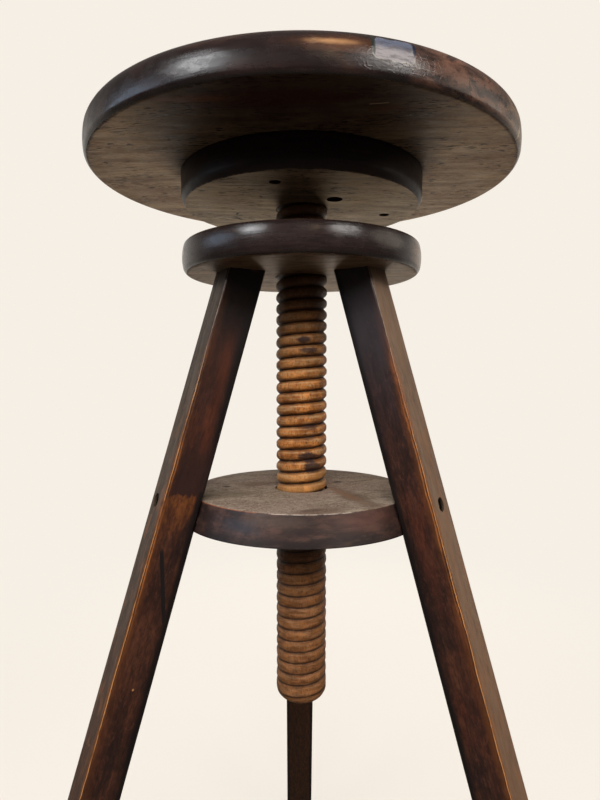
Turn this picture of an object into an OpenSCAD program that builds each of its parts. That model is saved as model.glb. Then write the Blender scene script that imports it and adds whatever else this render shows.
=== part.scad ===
// Revolving stool: a round seat on a wooden screw that turns in the top of a three-legged frame.
// Millimetres, +Z up, floor at z = 0. The screw's axis stands at x = 0, y = screw_y, and +Y is the back.

/* [Seat] */
// Diameter of the seat board
seat_d = 303.2; // [250:1:360]
// Thickness of the seat board
seat_t = 24; // [20:0.5:35]
// Radius of the round along the seat's top edge
seat_top_round = 10.8; // [4:0.2:14]
// Radius of the small round along the seat's bottom edge
seat_bottom_round = 3.8; // [1:0.1:5]
// Diameter of the fixing disc under the seat
boss_d = 175; // [150:1:200]
// Thickness of the fixing disc under the seat
boss_t = 21.7; // [18:0.1:28]
// Height of the flat round along the fixing disc's bottom edge, which ends in an arris
boss_edge_h = 7; // [2:0.5:10]
// Radius of that round
boss_edge_round = 10.4; // [10.4:0.2:20]

/* [Frame] */
// Height of the hub's underside above the floor
hub_bottom_h = 614.2; // [560:1:680]
// Diameter of the hub, the upper disc that holds the nut thread
hub_d = 174.6; // [150:1:200]
// Thickness of the hub
hub_t = 20.8; // [18:0.2:30]
// Radius of the round along the hub's top edge
hub_top_round = 2.6; // [1:0.2:6]
// Radius of the round along the hub's bottom edge
hub_bottom_round = 5.4; // [1:0.2:8]
// Height of the guide disc's underside above the floor
guide_bottom_h = 436; // [400:1:500]
// Thickness of the guide disc, the lower disc that steadies the screw
guide_t = 20; // [16:0.2:26]
// How much the guide disc's side leans, in mm of radius over its thickness
guide_lean = 7.5; // [5:0.1:9]
// How deep the guide disc's bottom edge is let into flats behind the legs
guide_seat_depth = 1.3; // [0.2:0.1:2]

/* [Legs] */
// Angle of each leg from upright, in degrees
leg_splay = 16.6; // [12:0.1:20]
// Width of a leg across its face
leg_w = 27.7; // [24:0.1:34]
// Thickness of a leg, square to its face
leg_t = 26.6; // [22:0.2:30]
// Distance from the screw's axis to a leg's centre line at the hub's underside
leg_top_reach = 48.4; // [45:0.2:54]
// Width of the worn chamfer along a leg's long edges
leg_chamfer = 1.6; // [0.5:0.1:3]
// Diameter of the round tenon at the top of a leg
tenon_d = 19; // [16:0.5:20]
// Thickness of a tenon's wedge at its top
wedge_t = 3; // [2:0.2:4]

/* [Screw] */
// Outer diameter of the wooden screw
screw_d = 38.1; // [34:0.1:42]
// Pitch of its single right-handed thread
screw_pitch = 8.4; // [7:0.1:10]
// Depth of its thread
thread_depth = 2.5; // [1.5:0.1:3]
// Height of the screw's lower end above the floor
screw_end_h = 294.2; // [240:1:320]
// Height of the opening between the hub and the seat's fixing disc, which the screw raises and lowers
seat_lift = 28.7; // [5:0.1:120]

/* [Clearances] */
// Play of the nut thread around the screw's thread, measured along the radius
nut_play = 0.75; // [0.6:0.05:1]
// Play of the guide disc's hole around the screw
guide_play = 0.7; // [0.3:0.05:1.2]
// Gap around glued and driven pieces, so that each stays a solid of its own
glue_gap = 0.05; // [0.02:0.01:0.1]

/* [Hidden] */
$fn = 96;

// Overrun of the cuts that go right through a face
past = 1;

// Angles of the legs around the screw, anticlockwise from +X; the back one stands a little to the left
az_back = 93.5;
az_left = 210;
az_right = 330;

// Heights
hub_top_h = hub_bottom_h + hub_t;
disc_bottom_h = hub_top_h + seat_lift;
seat_bottom_h = disc_bottom_h + boss_t;
guide_top_h = guide_bottom_h + guide_t;

// Iron wood screws through the legs: head, shank, and where each one sits across the leg
leg_screw_head_d = 8.8;
leg_screw_head_t = 1.2;
leg_screw_cone_t = 2.2;
leg_screw_shank_d = 4.8;
leg_screw_in_disc = 16;
leg_screw_sink = 3.2;
leg_screw_hole_d = 9.6;
leg_screw_drop = 10.5;
leg_screw_left_shift = 2.8;
slot_w = 1.3;
slot_depth = 1;
// Length of a screw's point as a share of its shank, and thickness of a head's rim as a share of the head
point_share = 1.6;
screw_head_share = 0.165;

// Iron wood screws that hold the fixing disc to the seat: three small ones, set in from the disc's rim,
// and a large one beside the wooden screw
disc_screw_head_d = 7.1;
disc_screw_shank_d = 3.6;
disc_screw_sink = 8;
disc_screw_in_seat = 12;
disc_screw_hole_d = 7.7;
disc_screw_inset = 23.1;
disc_screw_front_az = 257.6;
disc_screw_right_az = 14.7;
disc_screw_back_az = 136.1;
large_screw_head_d = 10.4;
large_screw_shank_d = 5.6;
large_screw_sink = 7;
large_screw_in_seat = 14;
large_screw_hole_d = 11.2;
large_screw_reach = 34.5;
large_screw_az = 314.5;

// Dowel on the screw's axis that centres the seat board over the screw
dowel_d = 9.5;
dowel_in_seat = 12;
dowel_in_post = 18;
dowel_chamfer = 0.8;

// Wedges in the leg tenons
wedge_foot_t = 0.8;
wedge_depth_share = 0.75;

// Thread: points along one turn, and the profile as shares of the pitch and of the thread's depth
turn_steps = 24;
profile_shares = [0, 0.2, 0.5, 0.8];
groove_shares = [1, 0.17, 0, 0.17];
// The turn position of the groove at +X on the floor's level, as a share of a turn
groove_phase_share = 0.274;
// Below the guide disc the thread is worn down to this share of its depth
worn_share = 0.4;
worn_over = 24;
// Plain lengths at the two ends, where the thread runs out
runout = 8;
screw_end_round = 9.2;
end_rings = 4;
// Turns of the grid beyond each end, which fold onto the end rings
spare_turns = 2;

// The frame as it stands: reach of its feet and the place of the screw's axis between front and back
lean = tan(leg_splay);
function leg_reach(h) = leg_top_reach + (hub_bottom_h - h) * lean;
leg_half_t = leg_t / 2 / cos(leg_splay);
foot_reach = leg_reach(0) + leg_half_t;
front_feet_reach = foot_reach * sin(az_right + 180) + leg_w / 2 * cos(az_right);
front_reach = max(seat_d / 2, front_feet_reach);
back_reach = foot_reach * sin(az_back) + (leg_w / 2 - leg_chamfer) * abs(cos(az_back));
screw_y = -(back_reach - front_reach) / 2;

// The guide disc's radii: its bottom edge is let into the legs, its side leans more than they do
guide_bottom_r = leg_reach(guide_bottom_h) - leg_half_t + guide_seat_depth;
guide_top_r = guide_bottom_r - guide_lean;
guide_hole_r = screw_d / 2 + guide_play;

function facing(az) = [cos(az), sin(az), 0];

module on_axis() {
  translate([0, screw_y, 0]) children();
}

// A turned disc with a round along each edge
module turned_disc(r, t, top_round, bottom_round) {
  rotate_extrude() {
    square([r - top_round, t]);
    square([r - bottom_round, t - top_round]);
    translate([0, bottom_round]) square([r, t - top_round - bottom_round]);
    translate([r - bottom_round, bottom_round])
      intersection() {
        circle(bottom_round);
        translate([0, -bottom_round]) square([bottom_round, bottom_round]);
      }
    translate([r - top_round, t - top_round])
      intersection() {
        circle(top_round);
        square([top_round, top_round]);
      }
  }
}

// A turned disc with a sharp top edge, and along its bottom edge a round that ends in an arris
module turned_disc_flat_top(r, t, edge_h, edge_round) {
  rotate_extrude() {
    square([r - edge_round, t]);
    translate([0, edge_h]) square([r, t - edge_h]);
    intersection() {
      translate([r - edge_round, edge_h]) circle(edge_round);
      square([r, edge_h]);
    }
  }
}

// A wood screw that points along +Z, with its slotted head's face at z = 0
module wood_screw(head_d, head_t, cone_t, shank_d, reach) {
  point_h = point_share * shank_d;
  difference() {
    union() {
      cylinder(d = head_d, h = head_t);
      translate([0, 0, head_t]) cylinder(d1 = head_d, d2 = shank_d, h = cone_t);
      translate([0, 0, head_t + cone_t]) cylinder(d = shank_d, h = reach - head_t - cone_t - point_h);
      translate([0, 0, reach - point_h]) cylinder(d1 = shank_d, d2 = 0, h = point_h);
    }
    translate([-head_d, -slot_w / 2, -slot_depth]) cube([2 * head_d, slot_w, 2 * slot_depth]);
  }
}

// The hole that such a screw is driven into, open towards -Z
module screw_hole(hole_d, shank_d, sink, head_h, reach) {
  translate([0, 0, -past]) cylinder(d = hole_d, h = sink + head_h + past);
  cylinder(d = shank_d + 2 * glue_gap, h = sink + reach + glue_gap);
}

// The places of the seat's screws, each as reach from the axis, angle and turn of its slot
module at_disc_screw(reach, az) {
  translate([0, 0, disc_bottom_h]) translate(reach * facing(az)) rotate([0, 0, az / 2]) children();
}

small_head_t = screw_head_share * disc_screw_head_d;
small_cone_t = (disc_screw_head_d - disc_screw_shank_d) / 2;
large_head_t = screw_head_share * large_screw_head_d;
large_cone_t = (large_screw_head_d - large_screw_shank_d) / 2;
small_screw_l = boss_t - disc_screw_sink + disc_screw_in_seat;
large_screw_l = boss_t - large_screw_sink + large_screw_in_seat;

small_screw_reach = boss_d / 2 - disc_screw_inset;

module small_disc_screw(az) {
  color("dimgray") on_axis() at_disc_screw(small_screw_reach, az) translate([0, 0, disc_screw_sink])
    wood_screw(disc_screw_head_d, small_head_t, small_cone_t, disc_screw_shank_d, small_screw_l);
}

module small_disc_hole(az) {
  at_disc_screw(small_screw_reach, az)
    screw_hole(disc_screw_hole_d, disc_screw_shank_d, disc_screw_sink, small_head_t + small_cone_t,
               small_screw_l);
}

module large_disc_hole() {
  at_disc_screw(large_screw_reach, large_screw_az)
    screw_hole(large_screw_hole_d, large_screw_shank_d, large_screw_sink, large_head_t + large_cone_t,
               large_screw_l);
}

module all_disc_holes() {
  small_disc_hole(disc_screw_front_az);
  small_disc_hole(disc_screw_right_az);
  small_disc_hole(disc_screw_back_az);
  large_disc_hole();
}

module disc_screw_front() { small_disc_screw(disc_screw_front_az); }

module disc_screw_right() { small_disc_screw(disc_screw_right_az); }

module disc_screw_back() { small_disc_screw(disc_screw_back_az); }

module disc_screw_large() {
  color("dimgray") on_axis() at_disc_screw(large_screw_reach, large_screw_az)
    translate([0, 0, large_screw_sink])
      wood_screw(large_screw_head_d, large_head_t, large_cone_t, large_screw_shank_d, large_screw_l);
}

// The seat board: a round along the top edge, a small one below, and blind holes in its underside
module seat() {
  color([0.20, 0.12, 0.09]) on_axis() difference() {
    translate([0, 0, seat_bottom_h]) turned_disc(seat_d / 2, seat_t, seat_top_round, seat_bottom_round);
    all_disc_holes();
    translate([0, 0, seat_bottom_h - past])
      cylinder(d = dowel_d + 2 * glue_gap, h = past + dowel_in_seat + glue_gap);
  }
}

// The disc that is glued on the screw's upper end and screwed up under the seat
module seat_disc() {
  color([0.26, 0.18, 0.13]) on_axis() difference() {
    translate([0, 0, disc_bottom_h]) turned_disc_flat_top(boss_d / 2, boss_t, boss_edge_h, boss_edge_round);
    all_disc_holes();
    translate([0, 0, disc_bottom_h - past]) cylinder(d = screw_d + 2 * glue_gap, h = boss_t + 2 * past);
  }
}

module centre_dowel() {
  color("tan") on_axis() translate([0, 0, seat_bottom_h - dowel_in_post]) rotate_extrude()
    polygon([
      [0, 0], [dowel_d / 2 - dowel_chamfer, 0], [dowel_d / 2, dowel_chamfer],
      [dowel_d / 2, dowel_in_post + dowel_in_seat - dowel_chamfer],
      [dowel_d / 2 - dowel_chamfer, dowel_in_post + dowel_in_seat], [0, dowel_in_post + dowel_in_seat]
    ]);
}

// The thread's groove is cut to this share of thread_depth at height h: full between the guide and the
// fixing disc, worn below, and running out to nothing at both ends
function ramp(h, h0, h1) = max(0, min(1, (h - h0) / (h1 - h0)));
function worn_at(h) = worn_share + (1 - worn_share) * ramp(h, guide_bottom_h - worn_over, guide_top_h);
function depth_share_at(h, low, high) =
  worn_at(h) * ramp(h, low, low + runout) * (1 - ramp(h, high - runout, high));

// A threaded rod between the heights low and high, as one grid of strips that wind up along the thread.
// Its plain ends close on rings of turn_steps points, and end_round, if any, rounds off the lower end.
module threaded_rod(r, low, high, end_round, full) {
  count = len(profile_shares);
  first = (floor(low / screw_pitch) - spare_turns) * turn_steps;
  rows = (ceil(high / screw_pitch) + spare_turns) * turn_steps - first;
  function height(i, j) =
    screw_pitch * ((first + i) / turn_steps + profile_shares[j] + groove_phase_share);
  function turn(i) = 360 * i / turn_steps;
  function cut(h) = full ? 1 : depth_share_at(h, low, high);
  grid = [for (i = [0:rows - 1]) for (j = [0:count - 1])
    let (h = max(low, min(high, height(i, j))), q = r - thread_depth * groove_shares[j] * cut(h))
    [q * cos(turn(i)), q * sin(turn(i)), h]];
  lower_ring = len(grid);
  upper_ring = lower_ring + turn_steps;
  end_ring = upper_ring + turn_steps;
  rings = end_round > 0 ? end_rings : 0;
  ends = [for (h = [low, high]) for (i = [0:turn_steps - 1]) [r * cos(turn(i)), r * sin(turn(i)), h]];
  rounds = [for (k = [1:1:rings]) let (a = 90 * k / end_rings, q = r - end_round * (1 - cos(a)))
    for (i = [0:turn_steps - 1]) [q * cos(turn(i)), q * sin(turn(i)), low - end_round * sin(a)]];
  // The grid point at row i and profile point j, or the point of an end ring that it falls on
  function at(i, j) =
    j == count ? at(i + turn_steps, 0)
    : height(i, j) <= low ? lower_ring + i % turn_steps
    : height(i, j) >= high ? upper_ring + i % turn_steps
    : i * count + j;
  function below(k, i) = (k == 0 ? lower_ring : end_ring + (k - 1) * turn_steps) + i % turn_steps;
  // The two triangles between four points, less any whose points fall together
  function patch(a, b, c, d) =
    [if (a != b && b != c && c != a) [a, c, b], if (a != c && c != d && d != a) [a, d, c]];
  winding = [for (i = [0:rows - turn_steps - 2]) for (j = [0:count - 1])
    each patch(at(i, j), at(i + 1, j), at(i + 1, j + 1), at(i, j + 1))];
  rounding = [for (k = [0:1:rings - 1]) for (i = [0:turn_steps - 1])
    each patch(below(k + 1, i), below(k + 1, i + 1), below(k, i + 1), below(k, i))];
  lower_face = [[for (i = [0:turn_steps - 1]) below(rings, i)]];
  upper_face = [[for (i = [turn_steps - 1:-1:0]) upper_ring + i]];
  polyhedron(points = concat(grid, ends, rounds), faces = concat(winding, rounding, lower_face, upper_face));
}

// The wooden screw: threaded up into the fixing disc, worn below the guide disc, rounded at its end
module screw_post() {
  color([0.60, 0.37, 0.19]) on_axis() difference() {
    threaded_rod(screw_d / 2, screw_end_h + screw_end_round, seat_bottom_h, screw_end_round, false);
    translate([0, 0, seat_bottom_h - dowel_in_post - glue_gap])
      cylinder(d = dowel_d + 2 * glue_gap, h = dowel_in_post + past);
  }
}

// What stands at a leg's place: a piece along the leg, +X outwards, z = 0 at the hub's underside
module along_leg(az) {
  rotate([0, 0, az]) translate([leg_top_reach, 0, hub_bottom_h]) rotate([0, -leg_splay, 0]) children();
}

// A layer of the whole part between two heights
module layer(low, high) {
  span = 2 * foot_reach + leg_w;
  translate([-span, -span, low]) cube([2 * span, 2 * span, high - low]);
}

leg_stock_l = hub_top_h / cos(leg_splay) + leg_t;

// The square stock of a leg with its four long edges worn off
module leg_stock() {
  x = leg_t / 2;
  y = leg_w / 2;
  c = leg_chamfer;
  translate([0, 0, -leg_stock_l]) linear_extrude(leg_stock_l + leg_t)
    polygon([
      [x - c, -y], [x, -y + c], [x, y - c], [x - c, y],
      [-x + c, y], [-x, y - c], [-x, -y + c], [-x + c, -y]
    ]);
}

// A wedge across a leg's tenon, driven flush with the hub's top
module wedge_stock() {
  depth = wedge_depth_share * hub_t;
  top = hub_t / cos(leg_splay);
  stop = tenon_d;
  rotate([90, 0, 0]) linear_extrude(2 * tenon_d, center = true)
    polygon([
      [-wedge_foot_t / 2, top - depth], [wedge_foot_t / 2, top - depth],
      [wedge_t / 2, top], [wedge_t / 2, top + stop], [-wedge_t / 2, top + stop], [-wedge_t / 2, top]
    ]);
}

module tenon_stock() {
  translate([0, 0, -leg_t]) cylinder(d = tenon_d, h = leg_t + hub_t + tenon_d);
}

// A leg screw's place: square to the leg's outer face, pointing inwards
module at_leg_screw(az, shift) {
  drop = hub_bottom_h - guide_top_h + leg_screw_drop - leg_t * sin(leg_splay);
  along_leg(az) translate([leg_t / 2, shift, -drop / cos(leg_splay)]) rotate([0, -90, 0]) children();
}

leg_screw_l = leg_t - leg_screw_sink + leg_screw_in_disc;

module leg_screw_hole(az, shift) {
  at_leg_screw(az, shift)
    screw_hole(leg_screw_hole_d, leg_screw_shank_d, leg_screw_sink, leg_screw_head_t + leg_screw_cone_t,
               leg_screw_l);
}

module leg(az, shift) {
  color([0.30, 0.18, 0.12]) on_axis() difference() {
    union() {
      intersection() {
        along_leg(az) leg_stock();
        layer(0, hub_bottom_h);
      }
      intersection() {
        along_leg(az) tenon_stock();
        layer(hub_bottom_h - leg_chamfer, hub_top_h);
      }
    }
    along_leg(az) wedge_stock();
    leg_screw_hole(az, shift);
  }
}

module tenon_wedge(az) {
  color([0.50, 0.38, 0.24]) on_axis() intersection() {
    along_leg(az) wedge_stock();
    along_leg(az) tenon_stock();
    layer(hub_bottom_h, hub_top_h);
  }
}

module leg_screw(az, shift) {
  color("dimgray") on_axis() at_leg_screw(az, shift) translate([0, 0, leg_screw_sink])
    wood_screw(leg_screw_head_d, leg_screw_head_t, leg_screw_cone_t, leg_screw_shank_d, leg_screw_l);
}

module leg_back() { leg(az_back, 0); }

module leg_left() { leg(az_left, -leg_screw_left_shift); }

module leg_right() { leg(az_right, 0); }

module tenon_wedge_back() { tenon_wedge(az_back); }

module tenon_wedge_left() { tenon_wedge(az_left); }

module tenon_wedge_right() { tenon_wedge(az_right); }

module leg_screw_back() { leg_screw(az_back, 0); }

module leg_screw_left() { leg_screw(az_left, -leg_screw_left_shift); }

module leg_screw_right() { leg_screw(az_right, 0); }

// The hub: the nut thread through its middle and a slanting hole for each leg's tenon
module hub() {
  thread_end = spare_turns * screw_pitch;
  color([0.28, 0.17, 0.12]) on_axis() difference() {
    translate([0, 0, hub_bottom_h]) turned_disc(hub_d / 2, hub_t, hub_top_round, hub_bottom_round);
    threaded_rod(screw_d / 2 + nut_play, hub_bottom_h - thread_end, hub_top_h + thread_end, 0, true);
    for (az = [az_back, az_left, az_right])
      along_leg(az) translate([0, 0, -leg_t])
        cylinder(d = tenon_d + 2 * glue_gap, h = leg_t + hub_t + tenon_d);
  }
}

// The guide disc: its side leans like the legs, which are screwed to shallow flats on it
module guide_disc() {
  color([0.33, 0.24, 0.19]) on_axis() difference() {
    translate([0, 0, guide_bottom_h]) cylinder(r1 = guide_bottom_r, r2 = guide_top_r, h = guide_t);
    translate([0, 0, guide_bottom_h - past]) cylinder(r = guide_hole_r, h = guide_t + 2 * past);
    for (az = [az_back, az_left, az_right])
      along_leg(az) translate([-leg_t / 2, -leg_w, -leg_stock_l]) cube([leg_t, 2 * leg_w, leg_stock_l]);
    leg_screw_hole(az_back, 0);
    leg_screw_hole(az_left, -leg_screw_left_shift);
    leg_screw_hole(az_right, 0);
  }
}

seat();
seat_disc();
disc_screw_front();
disc_screw_right();
disc_screw_back();
disc_screw_large();
screw_post();
centre_dowel();
hub();
guide_disc();
leg_back();
leg_left();
leg_right();
tenon_wedge_back();
tenon_wedge_left();
tenon_wedge_right();
leg_screw_back();
leg_screw_left();
leg_screw_right();
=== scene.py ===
# %% [markdown]
# The part is a revolving stool: a round seat on a big wooden screw, which turns in the top of a frame with
# three legs. The stool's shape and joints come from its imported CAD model, which is loaded here as a fixed
# frame. This script gives it the looks of an old, much handled stool: dark glossy varnish, rubbed edges,
# bare wood underneath and an orange brown screw.

# %% Load the frame
import math

import bpy
import bmesh
from mathutils import Matrix, Vector, noise


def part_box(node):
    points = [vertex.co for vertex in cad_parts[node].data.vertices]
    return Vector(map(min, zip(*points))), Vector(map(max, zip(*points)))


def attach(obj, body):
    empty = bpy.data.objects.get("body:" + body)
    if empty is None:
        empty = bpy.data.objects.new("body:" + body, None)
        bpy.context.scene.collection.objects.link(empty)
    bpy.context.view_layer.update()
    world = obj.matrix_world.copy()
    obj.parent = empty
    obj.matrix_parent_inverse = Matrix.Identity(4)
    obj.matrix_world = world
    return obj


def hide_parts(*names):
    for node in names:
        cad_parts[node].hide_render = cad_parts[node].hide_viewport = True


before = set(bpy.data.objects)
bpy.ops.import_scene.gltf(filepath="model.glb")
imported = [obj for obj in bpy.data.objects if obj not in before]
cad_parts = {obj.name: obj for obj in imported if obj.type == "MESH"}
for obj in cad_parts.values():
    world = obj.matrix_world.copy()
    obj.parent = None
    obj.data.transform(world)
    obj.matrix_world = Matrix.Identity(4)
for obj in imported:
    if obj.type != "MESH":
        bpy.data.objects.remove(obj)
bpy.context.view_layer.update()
print("nodes:", ", ".join(sorted(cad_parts)))

# %% [markdown]
# The camera stands where the photographer stood: close to the stool, a little below the seat, so that the
# seat is seen from underneath. A close camera with a wide lens gives the strong perspective of the picture.
# The numbers are real distances from the screw's axis, and the lens is the one that fits them.

# %% Camera
SENSOR = 36.0
LENS = 25.469
CAMERA_BACK = 0.42615
CAMERA_SIDE = 0.0217
CAMERA_HEIGHT = 0.5439
LOOK_LEFT = math.radians(3.065)
LOOK_DOWN = math.radians(2.877)
ROLL = math.radians(0.035)

hub_low, hub_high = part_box("hub")
AXIS = Vector(((hub_low.x + hub_high.x) / 2, (hub_low.y + hub_high.y) / 2, 0))

bpy.ops.object.select_all(action="DESELECT")
bpy.ops.object.camera_add(location=(AXIS.x + CAMERA_SIDE, AXIS.y - CAMERA_BACK, CAMERA_HEIGHT))
camera = bpy.context.object
camera.data.sensor_width = SENSOR
camera.data.lens = LENS
forward = Vector((-math.sin(LOOK_LEFT) * math.cos(LOOK_DOWN), math.cos(LOOK_LEFT) * math.cos(LOOK_DOWN),
                  -math.sin(LOOK_DOWN)))
right = forward.cross(Vector((0, 0, 1))).normalized()
up = right.cross(forward)
tilted_right = right * math.cos(ROLL) + up * math.sin(ROLL)
tilted_up = up * math.cos(ROLL) - right * math.sin(ROLL)
camera.matrix_world = Matrix.Translation(camera.location) @ Matrix(
    (tilted_right, tilted_up, -forward)).transposed().to_4x4()
bpy.context.scene.camera = camera
print("camera at", [round(x, 4) for x in camera.location])

# %% [markdown]
# An operator acts on all that is selected, so every step starts with a clear selection. `only` makes one
# piece the selected and active one. `pick` selects parts of a mesh in edit mode by a test on their place,
# which is what a click does by hand.

# %% Selecting
def only(piece):
    bpy.ops.object.select_all(action="DESELECT")
    piece.select_set(True)
    bpy.context.view_layer.objects.active = piece


def pick(piece, kind, test):
    """In edit mode, selects the verts, edges or faces whose middle passes the test."""
    bpy.ops.mesh.select_mode(type={"verts": "VERT", "edges": "EDGE", "faces": "FACE"}[kind])
    bpy.ops.mesh.select_all(action="DESELECT")
    shape = bmesh.from_edit_mesh(piece.data)
    count = 0
    for part in getattr(shape, kind):
        if kind == "verts":
            place = part.co
        elif kind == "edges":
            place = (part.verts[0].co + part.verts[1].co) / 2
        else:
            place = part.calc_center_median()
        if test(place, part):
            part.select_set(True)
            count += 1
    shape.select_flush_mode()
    bmesh.update_edit_mesh(piece.data)
    return count

# %% [markdown]
# The next helpers stand for tools. `cut_with` takes one solid out of another with the Boolean modifier, as a
# drill or a chisel does, or joins the two. `saw_level` saws both ends of a shape level with Bisect and closes
# the cuts. `finish_piece` leaves the piece's own origin at the world's origin, so that its place is in its
# mesh, and shades it smooth except across sharp edges.

# %% Cutting, sawing and finishing
def apply_all(piece):
    only(piece)
    for modifier in list(piece.modifiers):
        bpy.ops.object.modifier_apply(modifier=modifier.name)


def cut_with(piece, cutter, how="DIFFERENCE", keep=False):
    only(piece)
    bpy.ops.object.modifier_add(type="BOOLEAN")
    boolean = piece.modifiers[-1]
    boolean.operation = how
    boolean.solver = "EXACT"
    boolean.object = cutter
    apply_all(piece)
    if not keep:
        bpy.data.objects.remove(cutter)


def saw_level(low, high):
    """In edit mode, saws off what lies below the height low and above the height high."""
    for height, clear in ((low, "clear_inner"), (high, "clear_outer")):
        bpy.ops.mesh.select_all(action="SELECT")
        bpy.ops.mesh.bisect(plane_co=(0, 0, height), plane_no=(0, 0, 1), use_fill=True, **{clear: True})


def finish_piece(piece, angle=32):
    only(piece)
    bpy.ops.object.transform_apply(location=True, rotation=True, scale=True)
    bpy.ops.object.shade_smooth_by_angle(angle=math.radians(angle))
    piece.data.calc_loop_triangles()
    size = piece.dimensions * 1000
    print(f"{piece.name}: {size.x:.1f} x {size.y:.1f} x {size.z:.1f} mm,",
          len(piece.data.loop_triangles), "triangles")

# %% [markdown]
# The seat, the disc under it, the hub and the lower disc were all turned on a lathe. Blender's Spin does the
# same: it turns the outline of one side around the screw's axis. An added cylinder with beveled edges would
# also do, but a drawn outline lets each edge have its own round, and puts rings of points where the edges
# get their wear. Outlines are made of arcs and straight runs. The sides bulge a little, as hand-turned and
# sanded ones do.

# %% Outlines
def arc(centre_r, centre_z, radius, start, end, steps):
    """Points (r, z) on an arc between two angles, in degrees up from straight outwards."""
    angles = [math.radians(start + (end - start) * i / steps) for i in range(steps + 1)]
    return [(centre_r + radius * math.cos(a), centre_z + radius * math.sin(a)) for a in angles]


def line(r0, z0, r1, z1, spacing):
    """Points from one place to another, less the last one, about spacing apart."""
    steps = max(1, round(math.hypot(r1 - r0, z1 - z0) / spacing))
    return [(r0 + (r1 - r0) * i / steps, z0 + (z1 - z0) * i / steps) for i in range(steps)]


def bulging_side(r, bottom, top, low_round, low_tilt, high_round, high_tilt, steps):
    """A side that bulges a little between two rounds. The tilts are its lean where the rounds begin."""
    low, high = math.radians(low_tilt), math.radians(high_tilt)
    rounds = low_round * (1 - math.sin(low)) + high_round * (1 - math.sin(high))
    side = (top - bottom - rounds) / (math.sin(low) + math.sin(high))
    low_r = r - side * (1 - math.cos(low)) - low_round * math.cos(low)
    high_r = r - side * (1 - math.cos(high)) - high_round * math.cos(high)
    return (arc(low_r, bottom + low_round, low_round, -90, -low_tilt, steps)
            + arc(r - side, bottom + low_round * (1 - math.sin(low)) + side * math.sin(low), side,
                  -low_tilt, high_tilt, steps)[1:]
            + arc(high_r, top - high_round, high_round, high_tilt, 90, steps)[1:])


BOTTOM_GAP, TOP_GAP = 0.004, 0.005


def full_disc(side, bottom, top):
    """The outline of a disc with no hole: out along the bottom, up the side and back along the top."""
    return (line(0, bottom, side[0][0], bottom, BOTTOM_GAP) + side
            + line(side[-1][0], top, 0, top, TOP_GAP)[1:] + [(0, top)])

# %% [markdown]
# The lathe starts from a single point, and Extrude draws the outline from it, point by point. Spin winds it
# once around the axis. Where the seam and the middle have doubled points, Merge by Distance closes them, and
# the normals are recalculated, because Spin can turn a shape inside out.

# %% Turning on the lathe
TURN_STEPS = 320
MERGE_GAP = 0.000005


def turn_on_lathe(name, outline):
    bpy.ops.object.select_all(action="DESELECT")
    bpy.ops.mesh.primitive_plane_add(size=0.001, location=(AXIS.x, AXIS.y, 0))
    piece = bpy.context.object
    piece.name = piece.data.name = name
    bpy.ops.object.transform_apply(location=True)
    bpy.ops.object.mode_set(mode="EDIT")
    bpy.ops.mesh.select_mode(type="VERT")
    bpy.ops.mesh.merge(type="CENTER")
    bpy.ops.transform.translate(value=(outline[0][0], 0, outline[0][1]))
    at = outline[0]
    for r, z in outline[1:]:
        bpy.ops.mesh.extrude_region_move(TRANSFORM_OT_translate={"value": (r - at[0], 0, z - at[1])})
        at = (r, z)
    bpy.ops.mesh.select_all(action="SELECT")
    bpy.ops.mesh.spin(steps=TURN_STEPS, angle=2 * math.pi, center=AXIS, axis=(0, 0, 1))
    bpy.ops.mesh.select_all(action="SELECT")
    bpy.ops.mesh.remove_doubles(threshold=MERGE_GAP)
    bpy.ops.mesh.normals_make_consistent(inside=False)
    bpy.ops.object.mode_set(mode="OBJECT")
    return piece

# %% [markdown]
# The seat is one round board, a foot across and about an inch thick. Its top edge is worn to a deep round
# and its bottom edge to a small one. The outline starts in the middle of the underside, goes out, up around
# the edge and back to the middle of the top.

# %% Seat board
seat_low, seat_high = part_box("seat")
SEAT_R = (seat_high.x - seat_low.x) / 2
SEAT_BOTTOM, SEAT_TOP = seat_low.z, seat_high.z
SEAT_TOP_ROUND, SEAT_BOTTOM_ROUND = 0.0108, 0.0038

seat_side = bulging_side(SEAT_R, SEAT_BOTTOM, SEAT_TOP, low_round=SEAT_BOTTOM_ROUND, low_tilt=6,
                         high_round=SEAT_TOP_ROUND, high_tilt=7, steps=9)
seat = turn_on_lathe("seat_board", full_disc(seat_side, SEAT_BOTTOM, SEAT_TOP))
print("seat radius", round(SEAT_R * 1000, 1), "mm")

# %% [markdown]
# The fixing disc is glued on the screw and screwed up under the seat. Its lower edge has a flat round that
# ends in an arris, where the turner's chisel met the face. Because the screw goes through it, its outline is
# a closed loop that starts and ends at the hole.

# %% Fixing disc
disc_low, disc_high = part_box("seat_disc")
DISC_R = (disc_high.x - disc_low.x) / 2
DISC_BOTTOM, DISC_TOP = disc_low.z, disc_high.z
DISC_HOLE_R = 0.0191
DISC_EDGE_H, DISC_EDGE_ROUND, DISC_TOP_ROUND = 0.007, 0.0104, 0.0006
SIDE_GAP, HOLE_GAP, HIDDEN_GAP = 0.0025, 0.004, 0.008

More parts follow.
